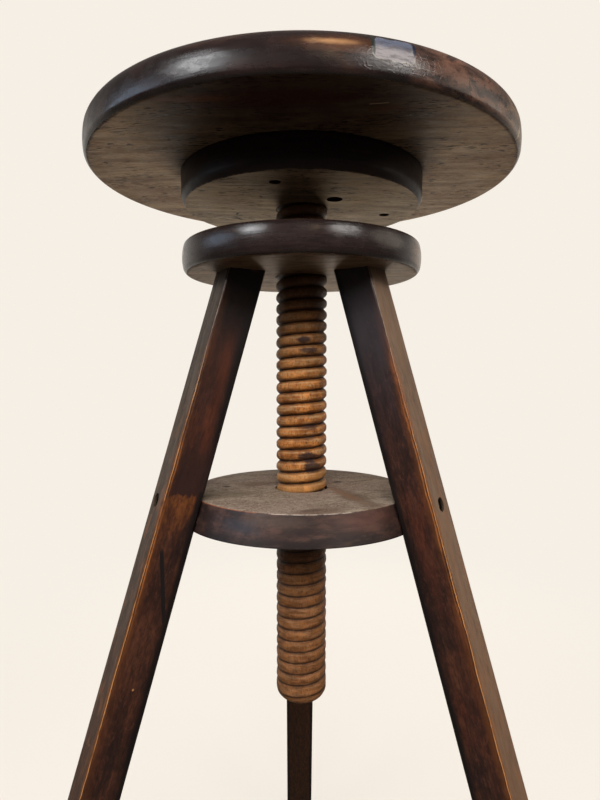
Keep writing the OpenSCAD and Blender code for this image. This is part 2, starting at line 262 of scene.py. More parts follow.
round_start = -math.degrees(math.asin(DISC_EDGE_H / DISC_EDGE_ROUND))
disc_round = arc(DISC_R - DISC_EDGE_ROUND, DISC_BOTTOM + DISC_EDGE_H, DISC_EDGE_ROUND, round_start, 0, 7)
DISC_FLAT_R = disc_round[0][0]
seat_disc = turn_on_lathe("fixing_disc", (
    line(DISC_HOLE_R, DISC_BOTTOM, DISC_FLAT_R, DISC_BOTTOM, BOTTOM_GAP)
    + disc_round
    + line(DISC_R, DISC_BOTTOM + DISC_EDGE_H, DISC_R, DISC_TOP - DISC_TOP_ROUND, SIDE_GAP)[1:]
    + arc(DISC_R - DISC_TOP_ROUND, DISC_TOP - DISC_TOP_ROUND, DISC_TOP_ROUND, 0, 90, 2)
    + line(DISC_R - DISC_TOP_ROUND, DISC_TOP, DISC_HOLE_R, DISC_TOP, HIDDEN_GAP)[1:]
    + line(DISC_HOLE_R, DISC_TOP, DISC_HOLE_R, DISC_BOTTOM, HOLE_GAP) + [(DISC_HOLE_R, DISC_BOTTOM)]))
print("arris of the fixing disc at radius", round(DISC_FLAT_R * 1000, 1), "mm")

# %% [markdown]
# Holes are drilled with a stepped cutter: a wide bore for a screw's head, then a narrow one for its shank.
# The cutter starts as a cylinder, and Inset and Extrude make the step.

# %% Drill
DRILL_LEAD = 0.002
DRILL_SIDES = 48


def drill(name, bore, place, turned=(0, 0, 0)):
    """A cutter that starts a little before its place and points along its own +Z.
    A bore is its wide radius and length, its narrow radius, and its whole length."""
    wide_r, wide_l, narrow_r, whole_l = bore
    bpy.ops.object.select_all(action="DESELECT")
    bpy.ops.mesh.primitive_cylinder_add(vertices=DRILL_SIDES, radius=wide_r, depth=wide_l + DRILL_LEAD,
                                        location=(0, 0, (wide_l - DRILL_LEAD) / 2))
    cutter = bpy.context.object
    cutter.name = name
    bpy.ops.object.transform_apply(location=True)
    bpy.ops.object.mode_set(mode="EDIT")
    pick(cutter, "faces", lambda place, face: place.z > wide_l - 0.0001 and face.normal.z > 0.9)
    bpy.ops.mesh.inset(thickness=wide_r - narrow_r)
    bpy.ops.mesh.extrude_region_move(TRANSFORM_OT_translate={"value": (0, 0, whole_l - wide_l)})
    bpy.ops.object.mode_set(mode="OBJECT")
    cutter.location = place
    cutter.rotation_euler = turned
    bpy.context.view_layer.update()
    return cutter


def around(reach, degrees, height):
    """The place at that distance from the screw's axis, at that angle from the right and that height."""
    a = math.radians(degrees)
    return Vector((AXIS.x + reach * math.cos(a), AXIS.y + reach * math.sin(a), height))

# %% [markdown]
# Iron screws hold the fixing disc to the seat: three small ones near its rim and a large one beside the
# wooden screw. Their heads lie deep in drilled holes, which are the dark spots in the disc's underside. A
# dowel in the middle centres the seat over the wooden screw.

# %% Holes for the iron screws
SMALL_BORE = (0.00385, 0.01092, 0.00185, 0.0338)
LARGE_BORE = (0.0056, 0.01112, 0.00285, 0.0358)
DOWEL_BORE = (0.0048, 0.012, 0.0046, 0.0121)
SMALL_SCREW_REACH, LARGE_SCREW_REACH = DISC_R - 0.0231, 0.0345
DISC_HOLES = {"front": (SMALL_SCREW_REACH, 257.6, SMALL_BORE), "right": (SMALL_SCREW_REACH, 14.7, SMALL_BORE),
              "back": (SMALL_SCREW_REACH, 136.1, SMALL_BORE), "large": (LARGE_SCREW_REACH, 314.5, LARGE_BORE)}

for name, (reach, degrees, bore) in DISC_HOLES.items():
    cutter = drill("bore_" + name, bore, around(reach, degrees, DISC_BOTTOM))
    cut_with(seat_disc, cutter, keep=True)
    cut_with(seat, cutter)
cut_with(seat, drill("bore_dowel", DOWEL_BORE, Vector((AXIS.x, AXIS.y, SEAT_BOTTOM))))
finish_piece(seat_disc)

# %% [markdown]
# A knock has left a nick in the seat's lower edge, on the right. The corner of a thin upright block is cut
# out of the edge.

# %% Nick in the seat's edge
NICK_DEGREES, NICK_LEAN = 334.5, 0.12
NICK_IN, NICK_UP = 0.0001, 0.001
NICK_BLOCK = (0.0012, 0.0012, 0.014)

nick_place = around(SEAT_R - NICK_IN, NICK_DEGREES, SEAT_BOTTOM + NICK_UP)
bpy.ops.object.select_all(action="DESELECT")
bpy.ops.mesh.primitive_cube_add(size=1, location=nick_place, scale=NICK_BLOCK,
                                rotation=(NICK_LEAN, 0, math.radians(NICK_DEGREES + 45)))
cut_with(seat, bpy.context.object)
finish_piece(seat)

# %% [markdown]
# The wooden screw is the heart of the stool: 38 mm thick, with a right-handed thread of 8.4 mm pitch. Its
# crests are round from wear, and its grooves are narrow and V-shaped, as the tool cut them. Blender's Screw
# modifier winds an outline of one pitch up around the axis in the same way. The nut thread inside the hub is
# wound from the same outline, made a little larger for play, so the two are in mesh.

# %% Thread
PITCH, THREAD_DEPTH = 0.0084, 0.0025
GROOVE_PHASE = 0.274
SCREW_R = 0.01905
# How far up one pitch each point lies, and how deep it is as a share of the thread's depth
THREAD_OUTLINE = [(0, 1), (0.05, 0.84), (0.1, 0.65), (0.15, 0.46), (0.2, 0.29), (0.26, 0.15), (0.33, 0.06),
                  (0.41, 0.015), (0.5, 0), (0.59, 0.015), (0.67, 0.06), (0.74, 0.15), (0.8, 0.29),
                  (0.85, 0.46), (0.9, 0.65), (0.95, 0.84), (1, 1)]


def wind_thread(name, radius, low, high, steps):
    """A threaded rod from height low to height high, closed at both ends."""
    first = math.floor(low / PITCH) - 2
    turns = math.ceil(high / PITCH) + 2 - first
    start_z = (first + GROOVE_PHASE) * PITCH
    bpy.ops.object.select_all(action="DESELECT")
    bpy.ops.mesh.primitive_plane_add(size=0.001, location=(0, 0, 0))
    rod = bpy.context.object
    rod.name = rod.data.name = name
    bpy.ops.object.mode_set(mode="EDIT")
    bpy.ops.mesh.select_mode(type="VERT")
    bpy.ops.mesh.merge(type="CENTER")
    bpy.ops.transform.translate(value=(radius - THREAD_DEPTH, 0, start_z))
    for (s0, d0), (s1, d1) in zip(THREAD_OUTLINE, THREAD_OUTLINE[1:]):
        bpy.ops.mesh.extrude_region_move(TRANSFORM_OT_translate={
            "value": ((d0 - d1) * THREAD_DEPTH, 0, (s1 - s0) * PITCH)})
    bpy.ops.object.mode_set(mode="OBJECT")
    bpy.ops.object.modifier_add(type="SCREW")
    winding = rod.modifiers[-1]
    winding.axis = "Z"
    winding.angle = 2 * math.pi
    winding.screw_offset = PITCH
    winding.iterations = turns
    winding.steps = winding.render_steps = steps
    winding.use_merge_vertices = False
    apply_all(rod)
    bpy.ops.object.mode_set(mode="EDIT")
    bpy.ops.mesh.select_all(action="SELECT")
    bpy.ops.mesh.remove_doubles(threshold=MERGE_GAP)
    saw_level(low, high)
    bpy.ops.mesh.select_all(action="SELECT")
    bpy.ops.mesh.normals_make_consistent(inside=False)
    bpy.ops.object.mode_set(mode="OBJECT")
    rod.location = AXIS
    bpy.context.view_layer.update()
    only(rod)
    bpy.ops.object.transform_apply(location=True)
    return rod

# %% [markdown]
# The thread isn't the same all the way. It runs out near both ends, is worn down below the lower disc, and
# the lower end is rounded. So each height has a share of the full thread depth, which the next step uses.

# %% How deep the thread is
post_low, post_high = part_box("screw_post")
POST_BOTTOM, POST_TOP = post_low.z, post_high.z
guide_low, guide_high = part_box("guide_disc")
GUIDE_BOTTOM, GUIDE_TOP = guide_low.z, guide_high.z
END_ROUND, RUNOUT = 0.0092, 0.008
WORN_SHARE, WORN_OVER = 0.4, 0.024


def ramp(value, start, end):
    """0 at the start, 1 at the end, and straight between them."""
    return max(0.0, min(1.0, (value - start) / (end - start)))


def depth_share(z):
    worn = WORN_SHARE + (1 - WORN_SHARE) * ramp(z, GUIDE_BOTTOM - WORN_OVER, GUIDE_TOP)
    thread_low = POST_BOTTOM + END_ROUND
    return worn * ramp(z, thread_low, thread_low + RUNOUT) * (1 - ramp(z, POST_TOP - RUNOUT, POST_TOP))


print("share of the thread's depth in the middle and below the lower disc:",
      depth_share((POST_BOTTOM + POST_TOP) / 2), round(depth_share(GUIDE_BOTTOM - WORN_OVER), 2))

# %% [markdown]
# By hand this wear would be sculpted, so the points are moved in code. Each goes out to its share of the
# depth, and then in again by a little noise: the crests are nibbled, their shoulders more so, and the whole
# thread wavers up and down a bit. The noise comes from the place alone, so every run makes the same screw.

# %% Wooden screw
SCREW_STEPS = 88
CREST_WEAR, GRIT, SHOULDER_WEAR, WAVER = 0.00022, 0.00012, 0.0006, 0.00035
SHOULDER_DEPTH, SHOULDER_SPREAD = 0.2, 0.4
STEADY_END = 0.01
POST_BORE = (0.0048, 0.0025, 0.0046, 0.0026)


def worn_place(place):
    """Where a point of the newly cut screw goes."""
    out = Vector((place.x - AXIS.x, place.y - AXIS.y, 0))
    z = place.z
    wanted = SCREW_R - (SCREW_R - out.length) * depth_share(z)
    below = ramp(z, POST_BOTTOM + END_ROUND, POST_BOTTOM)
    wanted = min(wanted, SCREW_R - END_ROUND * (1 - math.sqrt(max(0.0, 1 - below * below))))
    shoulder = 1 - abs((SCREW_R - out.length) / THREAD_DEPTH - SHOULDER_DEPTH) / SHOULDER_SPREAD
    wanted -= CREST_WEAR * max(0.0, noise.noise(place * 240) + 0.1) + GRIT * abs(noise.noise(place * 900))
    wanted -= SHOULDER_WEAR * max(0.0, shoulder) * max(0.0, noise.noise(place * 330) + 0.15)
    sway = noise.noise(Vector((place.x * 90, place.y * 90, place.z * 120)))
    free = ramp(z, POST_BOTTOM, POST_BOTTOM + STEADY_END) * ramp(z, POST_TOP, POST_TOP - STEADY_END)
    z += WAVER * sway * free
    out = out.normalized() * wanted
    return Vector((AXIS.x + out.x, AXIS.y + out.y, z))


screw_post = wind_thread("wooden_screw", SCREW_R, POST_BOTTOM, POST_TOP, SCREW_STEPS)
for vertex in screw_post.data.vertices:
    if math.hypot(vertex.co.x - AXIS.x, vertex.co.y - AXIS.y) >= 0.001:
        vertex.co = worn_place(vertex.co)
post_top = Vector((AXIS.x, AXIS.y, POST_TOP))
cut_with(screw_post, drill("bore_post", POST_BORE, post_top, turned=(math.pi, 0, 0)))
finish_piece(screw_post, angle=40)

# %% [markdown]
# The three legs lean outwards from the hub. Each leg has its own frame, in which it stands straight: x points
# outwards, y across it, and z up along it. All work on a leg is placed in that frame.

# %% Where the legs stand
SPLAY = math.radians(16.6)
LEG_T, LEG_W, LEG_REACH = 0.0266, 0.0277, 0.0484
HUB_BOTTOM, HUB_TOP = hub_low.z, hub_high.z
LEG_L = HUB_TOP / math.cos(SPLAY) + LEG_T
# The angle that each leg stands at, and how far its iron screw sits to one side
LEGS = {"back": (93.5, 0.0), "left": (210, -0.0028), "right": (330, 0.0)}


def leg_place(degrees):
    """The leg's own frame, with its origin in the hub's underside."""
    return (Matrix.Translation(around(LEG_REACH, degrees, HUB_BOTTOM))
            @ Matrix.Rotation(math.radians(degrees), 4, "Z") @ Matrix.Rotation(-SPLAY, 4, "Y"))


for name, (degrees, _) in LEGS.items():
    print(name, "leg meets the hub at", [round(x, 4) for x in leg_place(degrees).translation])

# %% [markdown]
# A leg starts as a cube of the leg's size, turned and placed where the leg stands. Its four long edges are
# beveled, because years of knees and shoes have worn them off. Subdivide puts rings along it, so that the
# wear can be uneven: each ring's corners go in by a little noise. Last, both ends are sawn level.

# %% Square stick
LEG_BEVEL, LEG_RINGS = 0.0017, 150
RUB, KNOCK = 0.00035, 0.0005


def rub_corners(shape, place, seed):
    """Moves the points near the four long edges in, by an amount that changes along the leg."""
    back = place.inverted()
    for vertex in shape.verts:
        local = back @ vertex.co
        side = Vector((math.copysign(1, local.x), math.copysign(1, local.y), 0))
        at = Vector((local.x * 6, local.y * 6, local.z)) + Vector((seed, 0, 0))
        dent = RUB * max(0.0, noise.noise(at * 45)) + KNOCK * max(0.0, noise.noise(at * 160) - 0.25)
        corner = min(abs(local.x) / (LEG_T / 2), abs(local.y) / (LEG_W / 2))
        local -= side * dent * ramp(corner, 0.86, 0.96)
        vertex.co = place @ local


def square_stick(name, place, seed):
    bpy.ops.object.select_all(action="DESELECT")
    bpy.ops.mesh.primitive_cube_add(size=1, scale=(LEG_T, LEG_W, LEG_L + LEG_T),
                                    location=place @ Vector((0, 0, (LEG_T - LEG_L) / 2)),
                                    rotation=place.to_euler())
    leg = bpy.context.object
    leg.name = leg.data.name = "leg_stick_" + name
    along = (place.to_3x3() @ Vector((0, 0, 1))).normalized()

    def is_long(middle, edge):
        return abs((edge.verts[0].co - edge.verts[1].co).normalized().dot(along)) > 0.99

    bpy.ops.object.transform_apply(location=True, rotation=True, scale=True)
    bpy.ops.object.mode_set(mode="EDIT")
    pick(leg, "edges", is_long)
    bpy.ops.mesh.bevel(offset=LEG_BEVEL, offset_type="OFFSET", segments=3, profile=0.36)
    pick(leg, "edges", is_long)
    bpy.ops.mesh.subdivide(number_cuts=LEG_RINGS)
    rub_corners(bmesh.from_edit_mesh(leg.data), place, seed)
    bmesh.update_edit_mesh(leg.data)
    saw_level(0, HUB_BOTTOM)
    bpy.ops.object.mode_set(mode="OBJECT")
    return leg

# %% [markdown]
# A round tenon on the leg's upper end goes up through the hub. It is a cylinder sawn level at the hub's top,
# and a Boolean union joins it on. A saw cut across the tenon takes the wedge that spreads it. The cut is
# wider at the top, as the wedge is.

# %% Tenon and its saw cut
TENON_R, TENON_L, TENON_MIDDLE, TENON_SIDES = 0.0095, 0.06, 0.022, 64
TENON_IN_LEG = 0.0016
WEDGE_TOP, WEDGE_FOOT, WEDGE_SHARE = 0.003, 0.0008, 0.75
SAW_W, SAW_PAST = 0.04, 0.01


def round_tenon(place):
    bpy.ops.object.select_all(action="DESELECT")
    bpy.ops.mesh.primitive_cylinder_add(vertices=TENON_SIDES, radius=TENON_R, depth=TENON_L,
                                        location=place @ Vector((0, 0, TENON_MIDDLE)),
                                        rotation=place.to_euler())
    tenon = bpy.context.object
    bpy.ops.object.transform_apply(location=True, rotation=True, scale=True)
    bpy.ops.object.mode_set(mode="EDIT")
    saw_level(HUB_BOTTOM - TENON_IN_LEG, HUB_TOP)
    bpy.ops.object.mode_set(mode="OBJECT")
    return tenon


def wedge_slot(place):
    bpy.ops.object.select_all(action="DESELECT")
    bpy.ops.mesh.primitive_cube_add(size=1)
    slot = bpy.context.object
    top, depth = (HUB_TOP - HUB_BOTTOM) / math.cos(SPLAY), WEDGE_SHARE * (HUB_TOP - HUB_BOTTOM)
    slot.data.transform(Matrix.Diagonal((WEDGE_TOP, SAW_W, depth, 1)))
    for vertex in slot.data.vertices:
        if vertex.co.z < 0:
            vertex.co.x *= WEDGE_FOOT / WEDGE_TOP
            vertex.co.z = top - depth
        else:
            vertex.co.x *= (1 + (WEDGE_TOP - WEDGE_FOOT) / WEDGE_TOP * SAW_PAST / depth)
            vertex.co.z = top + SAW_PAST
    slot.data.transform(place)
    return slot

# %% [markdown]
# An iron screw goes through each leg into the lower disc, square to the leg's outer face. Its head lies in a
# counterbore. The hole is drilled last, when the stick, the tenon and the saw cut are one piece.

# %% Legs
LEG_BORE = (0.0048, 0.0066, 0.00245, 0.0427)
LEG_SCREW_DOWN = 0.0105


def leg_bore(name, degrees, shift):
    """The cutter for the leg's iron screw, at its height below the lower disc's top."""
    drop = (HUB_BOTTOM - GUIDE_TOP + LEG_SCREW_DOWN - LEG_T * math.sin(SPLAY)) / math.cos(SPLAY)
    cutter = drill("bore_" + name, LEG_BORE, Vector((0, 0, 0)))
    inwards = Matrix.Translation((LEG_T / 2, shift, -drop)) @ Matrix.Rotation(-math.pi / 2, 4, "Y")
    cutter.data.transform(leg_place(degrees) @ inwards)
    return cutter


legs = {}
for name, (degrees, shift) in LEGS.items():
    place = leg_place(degrees)
    leg = square_stick(name, place, degrees)
    cut_with(leg, round_tenon(place), how="UNION")
    cut_with(leg, wedge_slot(place))
    cut_with(leg, leg_bore(name, degrees, shift))
    finish_piece(leg, angle=24)
    legs[name] = leg

# %% [markdown]
# The hub is the upper disc of the frame, with the nut thread through its middle and a slanting hole for each
# leg's tenon. It is turned as a full disc first. Then a threaded rod and three slanting cylinders are taken
# out of it, as a tap and a drill would do.

# %% Hub
HUB_R = (hub_high.x - hub_low.x) / 2
NUT_PLAY, TAP_STEPS, TAP_PAST = 0.00075, 60, 0.003
TENON_ROOM, TENON_DRILL_L, TENON_DRILL_MIDDLE = 0.00005, 0.07, 0.01

hub_side = bulging_side(HUB_R, HUB_BOTTOM, HUB_TOP, low_round=0.0048, low_tilt=12,
                        high_round=0.0024, high_tilt=15, steps=8)
hub = turn_on_lathe("hub_disc", full_disc(hub_side, HUB_BOTTOM, HUB_TOP))
cut_with(hub, wind_thread("tap", SCREW_R + NUT_PLAY, HUB_BOTTOM - TAP_PAST, HUB_TOP + TAP_PAST, TAP_STEPS))
for degrees, _ in LEGS.values():
    place = leg_place(degrees)
    bpy.ops.object.select_all(action="DESELECT")
    bpy.ops.mesh.primitive_cylinder_add(vertices=TENON_SIDES, radius=TENON_R + TENON_ROOM,
                                        depth=TENON_DRILL_L,
                                        location=place @ Vector((0, 0, TENON_DRILL_MIDDLE)),
                                        rotation=place.to_euler())
    cut_with(hub, bpy.context.object)
finish_piece(hub)

# %% [markdown]
# The lower disc steadies the screw, which slides and turns in its plain hole. Its side leans like the legs,
# and the legs are screwed to three shallow flats on it. The outline goes out along the bottom, up the side,
# and back along the top to the hole. Bisect cuts each flat along the leg's inner face. Its threshold is far
# below the usual one, because a larger one makes slivers where a flat passes close to a point of the disc.

# %% Lower disc
GUIDE_BOTTOM_R, GUIDE_TOP_R, GUIDE_HOLE_R = 0.08895, 0.08145, 0.01975
GUIDE_SIDE_GAP, FLAT_THRESHOLD = 0.002, 0.000001

low_corner = [(GUIDE_BOTTOM_R - 0.0005, GUIDE_BOTTOM), (GUIDE_BOTTOM_R - 0.0001, GUIDE_BOTTOM + 0.0003)]
high_corner = [(GUIDE_TOP_R + 0.0003, GUIDE_TOP - 0.0008), (GUIDE_TOP_R, GUIDE_TOP - 0.0003),
               (GUIDE_TOP_R - 0.0006, GUIDE_TOP)]
guide = turn_on_lathe("lower_disc", (
    line(GUIDE_HOLE_R, GUIDE_BOTTOM, *low_corner[0], BOTTOM_GAP)
    + low_corner
    + line(*low_corner[-1], *high_corner[0], GUIDE_SIDE_GAP)[1:]
    + high_corner
    + line(*high_corner[-1], GUIDE_HOLE_R, GUIDE_TOP, BOTTOM_GAP)[1:]
    + line(GUIDE_HOLE_R, GUIDE_TOP, GUIDE_HOLE_R, GUIDE_BOTTOM, HOLE_GAP) + [(GUIDE_HOLE_R, GUIDE_BOTTOM)]))
only(guide)
bpy.ops.object.mode_set(mode="EDIT")
for degrees, _ in LEGS.values():
    place = leg_place(degrees)
    outwards = place.to_3x3() @ Vector((1, 0, 0))
    bpy.ops.mesh.select_all(action="SELECT")
    bpy.ops.mesh.bisect(plane_co=place @ Vector((-LEG_T / 2, 0, 0)), plane_no=outwards, use_fill=True,
                        clear_outer=True, threshold=FLAT_THRESHOLD)
bpy.ops.mesh.select_all(action="DESELECT")
bpy.ops.object.mode_set(mode="OBJECT")
for name, (degrees, shift) in LEGS.items():
    cut_with(guide, leg_bore(name, degrees, shift))
finish_piece(guide)

# %% [markdown]
# Each finished piece rides on the CAD body that moves it, and stands for the CAD node of the same thing. The
# CAD nodes stay for collision and aren't shown.

# %% Bodies and nodes
PIECES = [(seat, "seat", "seat", "seat_wood"), (seat_disc, "seat", "seat_disc", "disc_wood"),
          (screw_post, "seat", "screw_post", "screw_wood"), (hub, "frame", "hub", "hub_wood"),
          (guide, "frame", "guide_disc", "guide_wood")]
PIECES += [(legs[name], "frame", "leg_" + name, "leg_wood") for name in LEGS]
for piece, body, node, slot in PIECES:
    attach(piece, body)
    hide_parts(node)
print(len(PIECES), "pieces made;", len(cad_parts) - len(PIECES), "CAD nodes stay")

# %% [markdown]
# Wood has a grain, so every wood finish needs to know which way it runs. Each wooden piece gets an attribute
# "grain", which holds the place of each point in its own plank: x along the grain, y and z across it. The
# turned pieces also get "rim", with the way around the edge, measured from the front, the height and the
# radius, so that marks on an edge can be put where they are. Object coordinates would do for the level
# discs, but not for the leaning legs. The rim is stored for each corner of each face, because the way around
# jumps at the back from one end to the other, and a corner can take the end that its own face is at.

# %% Grain and rim
LEG_GRAIN_STEP = 3.0


def lay_grain(piece, plank, shift=(0, 0, 0)):
    layer = piece.data.attributes.new("grain", "FLOAT_VECTOR", "POINT")
    back = plank.inverted()
    values = []
    for vertex in piece.data.vertices:
        values.extend(back @ vertex.co + Vector(shift))
    layer.data.foreach_set("vector", values)


def lay_rim(piece, radius, bottom):
    layer = piece.data.attributes.new("rim", "FLOAT_VECTOR", "CORNER")
    points = piece.data.vertices
    values = []
    for face in piece.data.polygons:
        middle = math.atan2(face.center.x - AXIS.x, AXIS.y - face.center.y)
        for place in (points[index].co for index in face.vertices):
            x, y = place.x - AXIS.x, place.y - AXIS.y
            angle = math.atan2(x, -y)
            angle += 2 * math.pi * round((middle - angle) / (2 * math.pi))
            values.extend((angle * radius, place.z - bottom, math.hypot(x, y)))
    layer.data.foreach_set("vector", values)


for piece, radius, bottom, degrees, shift in ((seat, SEAT_R, SEAT_BOTTOM, 0, (0, 0, 0)),
                                              (seat_disc, DISC_R, DISC_BOTTOM, 8, (0.3, 0.1, 0)),
                                              (hub, HUB_R, HUB_BOTTOM, -6, (0.7, 0.2, 0.1)),
                                              (guide, GUIDE_TOP_R, GUIDE_BOTTOM, 24, (1.1, 0.4, 0.2))):
    place = Matrix.Translation((AXIS.x, AXIS.y, bottom)) @ Matrix.Rotation(math.radians(degrees), 4, "Z")
    lay_grain(piece, place, shift)
    lay_rim(piece, radius, bottom)
lay_grain(screw_post, Matrix.Translation(AXIS) @ Matrix.Rotation(-math.pi / 2, 4, "Y"))
lay_rim(screw_post, SCREW_R, 0)
for number, (name, (degrees, _)) in enumerate(LEGS.items()):
    lay_grain(legs[name], leg_place(degrees) @ Matrix.Rotation(math.pi / 2, 4, "Y"),
              (number * LEG_GRAIN_STEP, 0, 0))
print("grain laid on", len(PIECES), "pieces")

# %% [markdown]
# A finish is a node material. By hand its nodes are added and linked in the Shader Editor. Here a small class
# does that, so that a finish can be written down as a recipe: each method adds a node and returns its output.
# `add` makes a node of any kind, and `feed` links an output to an input or sets a plain value on it.

# %% Nodes
def srgb(red, green, blue):
    """A colour as a screen shows it, from 0 to 255, as the linear numbers that a shader takes."""
    values = [c / 255 for c in (red, green, blue)]
    return tuple(c / 12.92 if c <= 0.04045 else ((c + 0.055) / 1.055) ** 2.4 for c in values) + (1.0,)


class Nodes:
    """Adds nodes to a material's or a world's tree."""
    def __init__(self, tree):
        self.tree = tree

    def add(self, kind, inputs, **settings):
        node = self.tree.nodes.new("ShaderNode" + kind)
        for name, value in settings.items():
            setattr(node, name, value)
        for name, value in inputs.items():
            self.feed(node.inputs[name], value)
        return node

    def feed(self, socket, value):
        if isinstance(value, bpy.types.NodeSocket):
            self.tree.links.new(value, socket)
        else:
            socket.default_value = value

    def split(self, vector):
        return self.add("SeparateXYZ", {"Vector": vector}).outputs

    def spread(self, value, start, end, low=0.0, high=1.0):
        """Moves a value from the range start to end into the range low to high, and stops there."""
        return self.add("MapRange", {"Value": value, "From Min": start, "From Max": end, "To Min": low,
                                     "To Max": high}, interpolation_type="SMOOTHSTEP").outputs[0]

    def calc(self, operation, a, b=0.0):
        return self.add("Math", {0: a, 1: b}, operation=operation).outputs[0]

    def vector_calc(self, operation, a, b=(0, 0, 0)):
        return self.add("VectorMath", {0: a, 1: b}, operation=operation).outputs

    def product(self, *values):
        result = values[0]
        for value in values[1:]:
            result = self.calc("MULTIPLY", result, value)
        return result

    def so_far(self, what):
        print(what, "done,", len(self.tree.nodes), "nodes so far")

# %% [markdown]
# Next come the patterns that wear is made of. Numbers that count waves or cells are per metre, because the
# places on a piece are in metres. A pattern with few waves along the grain and many across it gives fibres,
# and one with many of both gives dust. A spot or a stroke is measured from a place, so it stays where the
# real mark is.

# %% Patterns
class Patterns(Nodes):
    def attribute(self, name):
        return self.add("Attribute", {}, attribute_name=name).outputs["Vector"]

    def object_place(self):
        return self.add("TexCoord", {}).outputs["Object"]

    def noise(self, vector, per_metre, detail=4, rough=0.55, twist=0.0, shift=(0, 0, 0)):
        """Noise from 0 to 1. per_metre is how many blobs fit in a metre along x, y and z."""
        stretched = self.add("Mapping", {"Vector": vector, "Scale": per_metre, "Location": shift})
        return self.add("TexNoise", {"Vector": stretched.outputs[0], "Scale": 1.0, "Detail": detail,
                                     "Roughness": rough, "Distortion": twist}).outputs[0]

    def cells(self, vector, per_metre, feature="DISTANCE_TO_EDGE"):
        """How far a point lies from the border of its cell, or with F1 from the cell's middle."""
        stretched = self.add("Mapping", {"Vector": vector, "Scale": per_metre})
        return self.add("TexVoronoi", {"Vector": stretched.outputs[0], "Scale": 1.0},
                        feature=feature).outputs["Distance"]

    def spot(self, vector, centre, size, ragged=0.0, noise=None, soft=0.5):
        """1 inside an oval of the given half sizes, 0 outside it, with an edge as ragged as the noise."""
        moved = self.vector_calc("SUBTRACT", vector, centre)[0]
        scaled = self.vector_calc("DIVIDE", moved, size)[0]
        far = self.vector_calc("LENGTH", scaled)["Value"]
        if noise is not None:
            far = self.calc("ADD", far, self.calc("MULTIPLY", self.calc("SUBTRACT", noise, 0.5), ragged))
        return self.spread(far, 1.0, 1.0 - soft)

    def stroke(self, vector, start, end, width):
        """1 on a straight stroke between two places, as wide as said."""
        start, end = Vector(start), Vector(end)
        way, half = (end - start).normalized(), (end - start).length / 2
        moved = self.vector_calc("SUBTRACT", vector, (start + end) / 2)[0]
        along = self.vector_calc("DOT_PRODUCT", moved, way)["Value"]
        on_way = self.add("VectorMath", {0: way, "Scale": along}, operation="SCALE").outputs[0]
        off = self.vector_calc("DISTANCE", moved, on_way)["Value"]
        return self.product(self.spread(off, width * 0.65, width * 0.35),
                            self.spread(self.calc("ABSOLUTE", along), half + width, half - width))

    def rounded_box(self, vector, centre, half, corner, wobble):
        """How far a point lies outside a box with round corners, in metres. Inside, it is below 0."""
        moved = self.vector_calc("SUBTRACT", vector, centre)[0]
        moved = self.vector_calc("ADD", moved, wobble)[0]
        sized = self.vector_calc("ABSOLUTE", moved)[0]
        past = self.vector_calc("SUBTRACT", sized, [h - corner for h in half])[0]
        past = self.vector_calc("MAXIMUM", past)[0]
        return self.calc("SUBTRACT", self.vector_calc("LENGTH", past)["Value"], corner)

    def arris(self, rim, height, radius, width):
        """1 on the ring at that height and radius, falling to 0 at that width from it."""
        parts = self.split(rim)
        flat = self.add("CombineXYZ", {"X": self.calc("SUBTRACT", parts["Y"], height),
                                       "Y": self.calc("SUBTRACT", parts["Z"], radius)}).outputs[0]
        return self.spread(self.vector_calc("LENGTH", flat)["Value"], width, 0.0)

# %% [markdown]
# A finish paints colours over each other, as coats and dirt lie over each other on the real wood. `paint`
# lays one colour over what is there, as strongly as its shares say. `bump` makes fine relief, and `done`
# links the colour, the roughness and the relief to the Principled shader.

# %% Finish
class Finish(Patterns):
    def __init__(self, name):
        self.material = bpy.data.materials.new(name)
        self.material.use_nodes = True
        super().__init__(self.material.node_tree)
        self.shader = self.tree.nodes["Principled BSDF"]

    def mix(self, share, a, b):
        """The colour a where the share is 0, and b where it is 1."""
        node = self.add("Mix", {}, data_type="RGBA")
        for index, value in ((0, share), (6, a), (7, b)):
            self.feed(node.inputs[index], value)
        return node.outputs[2]

    def paint(self, under, over, *shares):
        """Lays the colour over on the colour under, as strongly as the product of the shares says."""
        return self.mix(self.product(*shares), under, over)

    def bump(self, height, depth, before=None):
        """Raises the surface by up to depth metres where the height is 1."""
        inputs = {"Height": height, "Distance": depth, "Strength": 1.0}
        if before is not None:
            inputs["Normal"] = before
        return self.add("Bump", inputs).outputs[0]

    def done(self, colour, roughness, normal, **fixed):
        self.feed(self.shader.inputs["Base Color"], colour)
        self.feed(self.shader.inputs["Roughness"], roughness)
        self.feed(self.shader.inputs["Normal"], normal)
        for name, value in fixed.items():
            self.shader.inputs[name.replace("_", " ")].default_value = value
        print(self.material.name, "has", len(self.tree.nodes), "nodes")
        return self.material

# %% [markdown]
# Three things make these woods look old, and each is a small recipe of its own. `streaks` are soft bands
# along the grain. `pores` are the short dark dashes of open pores, in loose groups. `varnish` is a dark
# finish that has gone reddish brown where it is thin, and whose gloss changes along the grain.

# %% Varnished wood
def streaks(f, grain, shift=(0, 0, 0)):
    return f.noise(grain, (5, 130, 130), 5, 0.62, 0.3, shift)


def fibres(f, grain):
    return f.noise(grain, (28, 700, 700), 3, 0.6)


def pores(f, grain, amount):
    dashes = f.spread(f.noise(grain, (150, 700, 700), 2, 0.5), 0.54, 0.62)
    groups = f.spread(f.noise(grain, (18, 45, 45), 3, 0.55), 0.46, 0.58)
    return f.product(dashes, groups, amount)


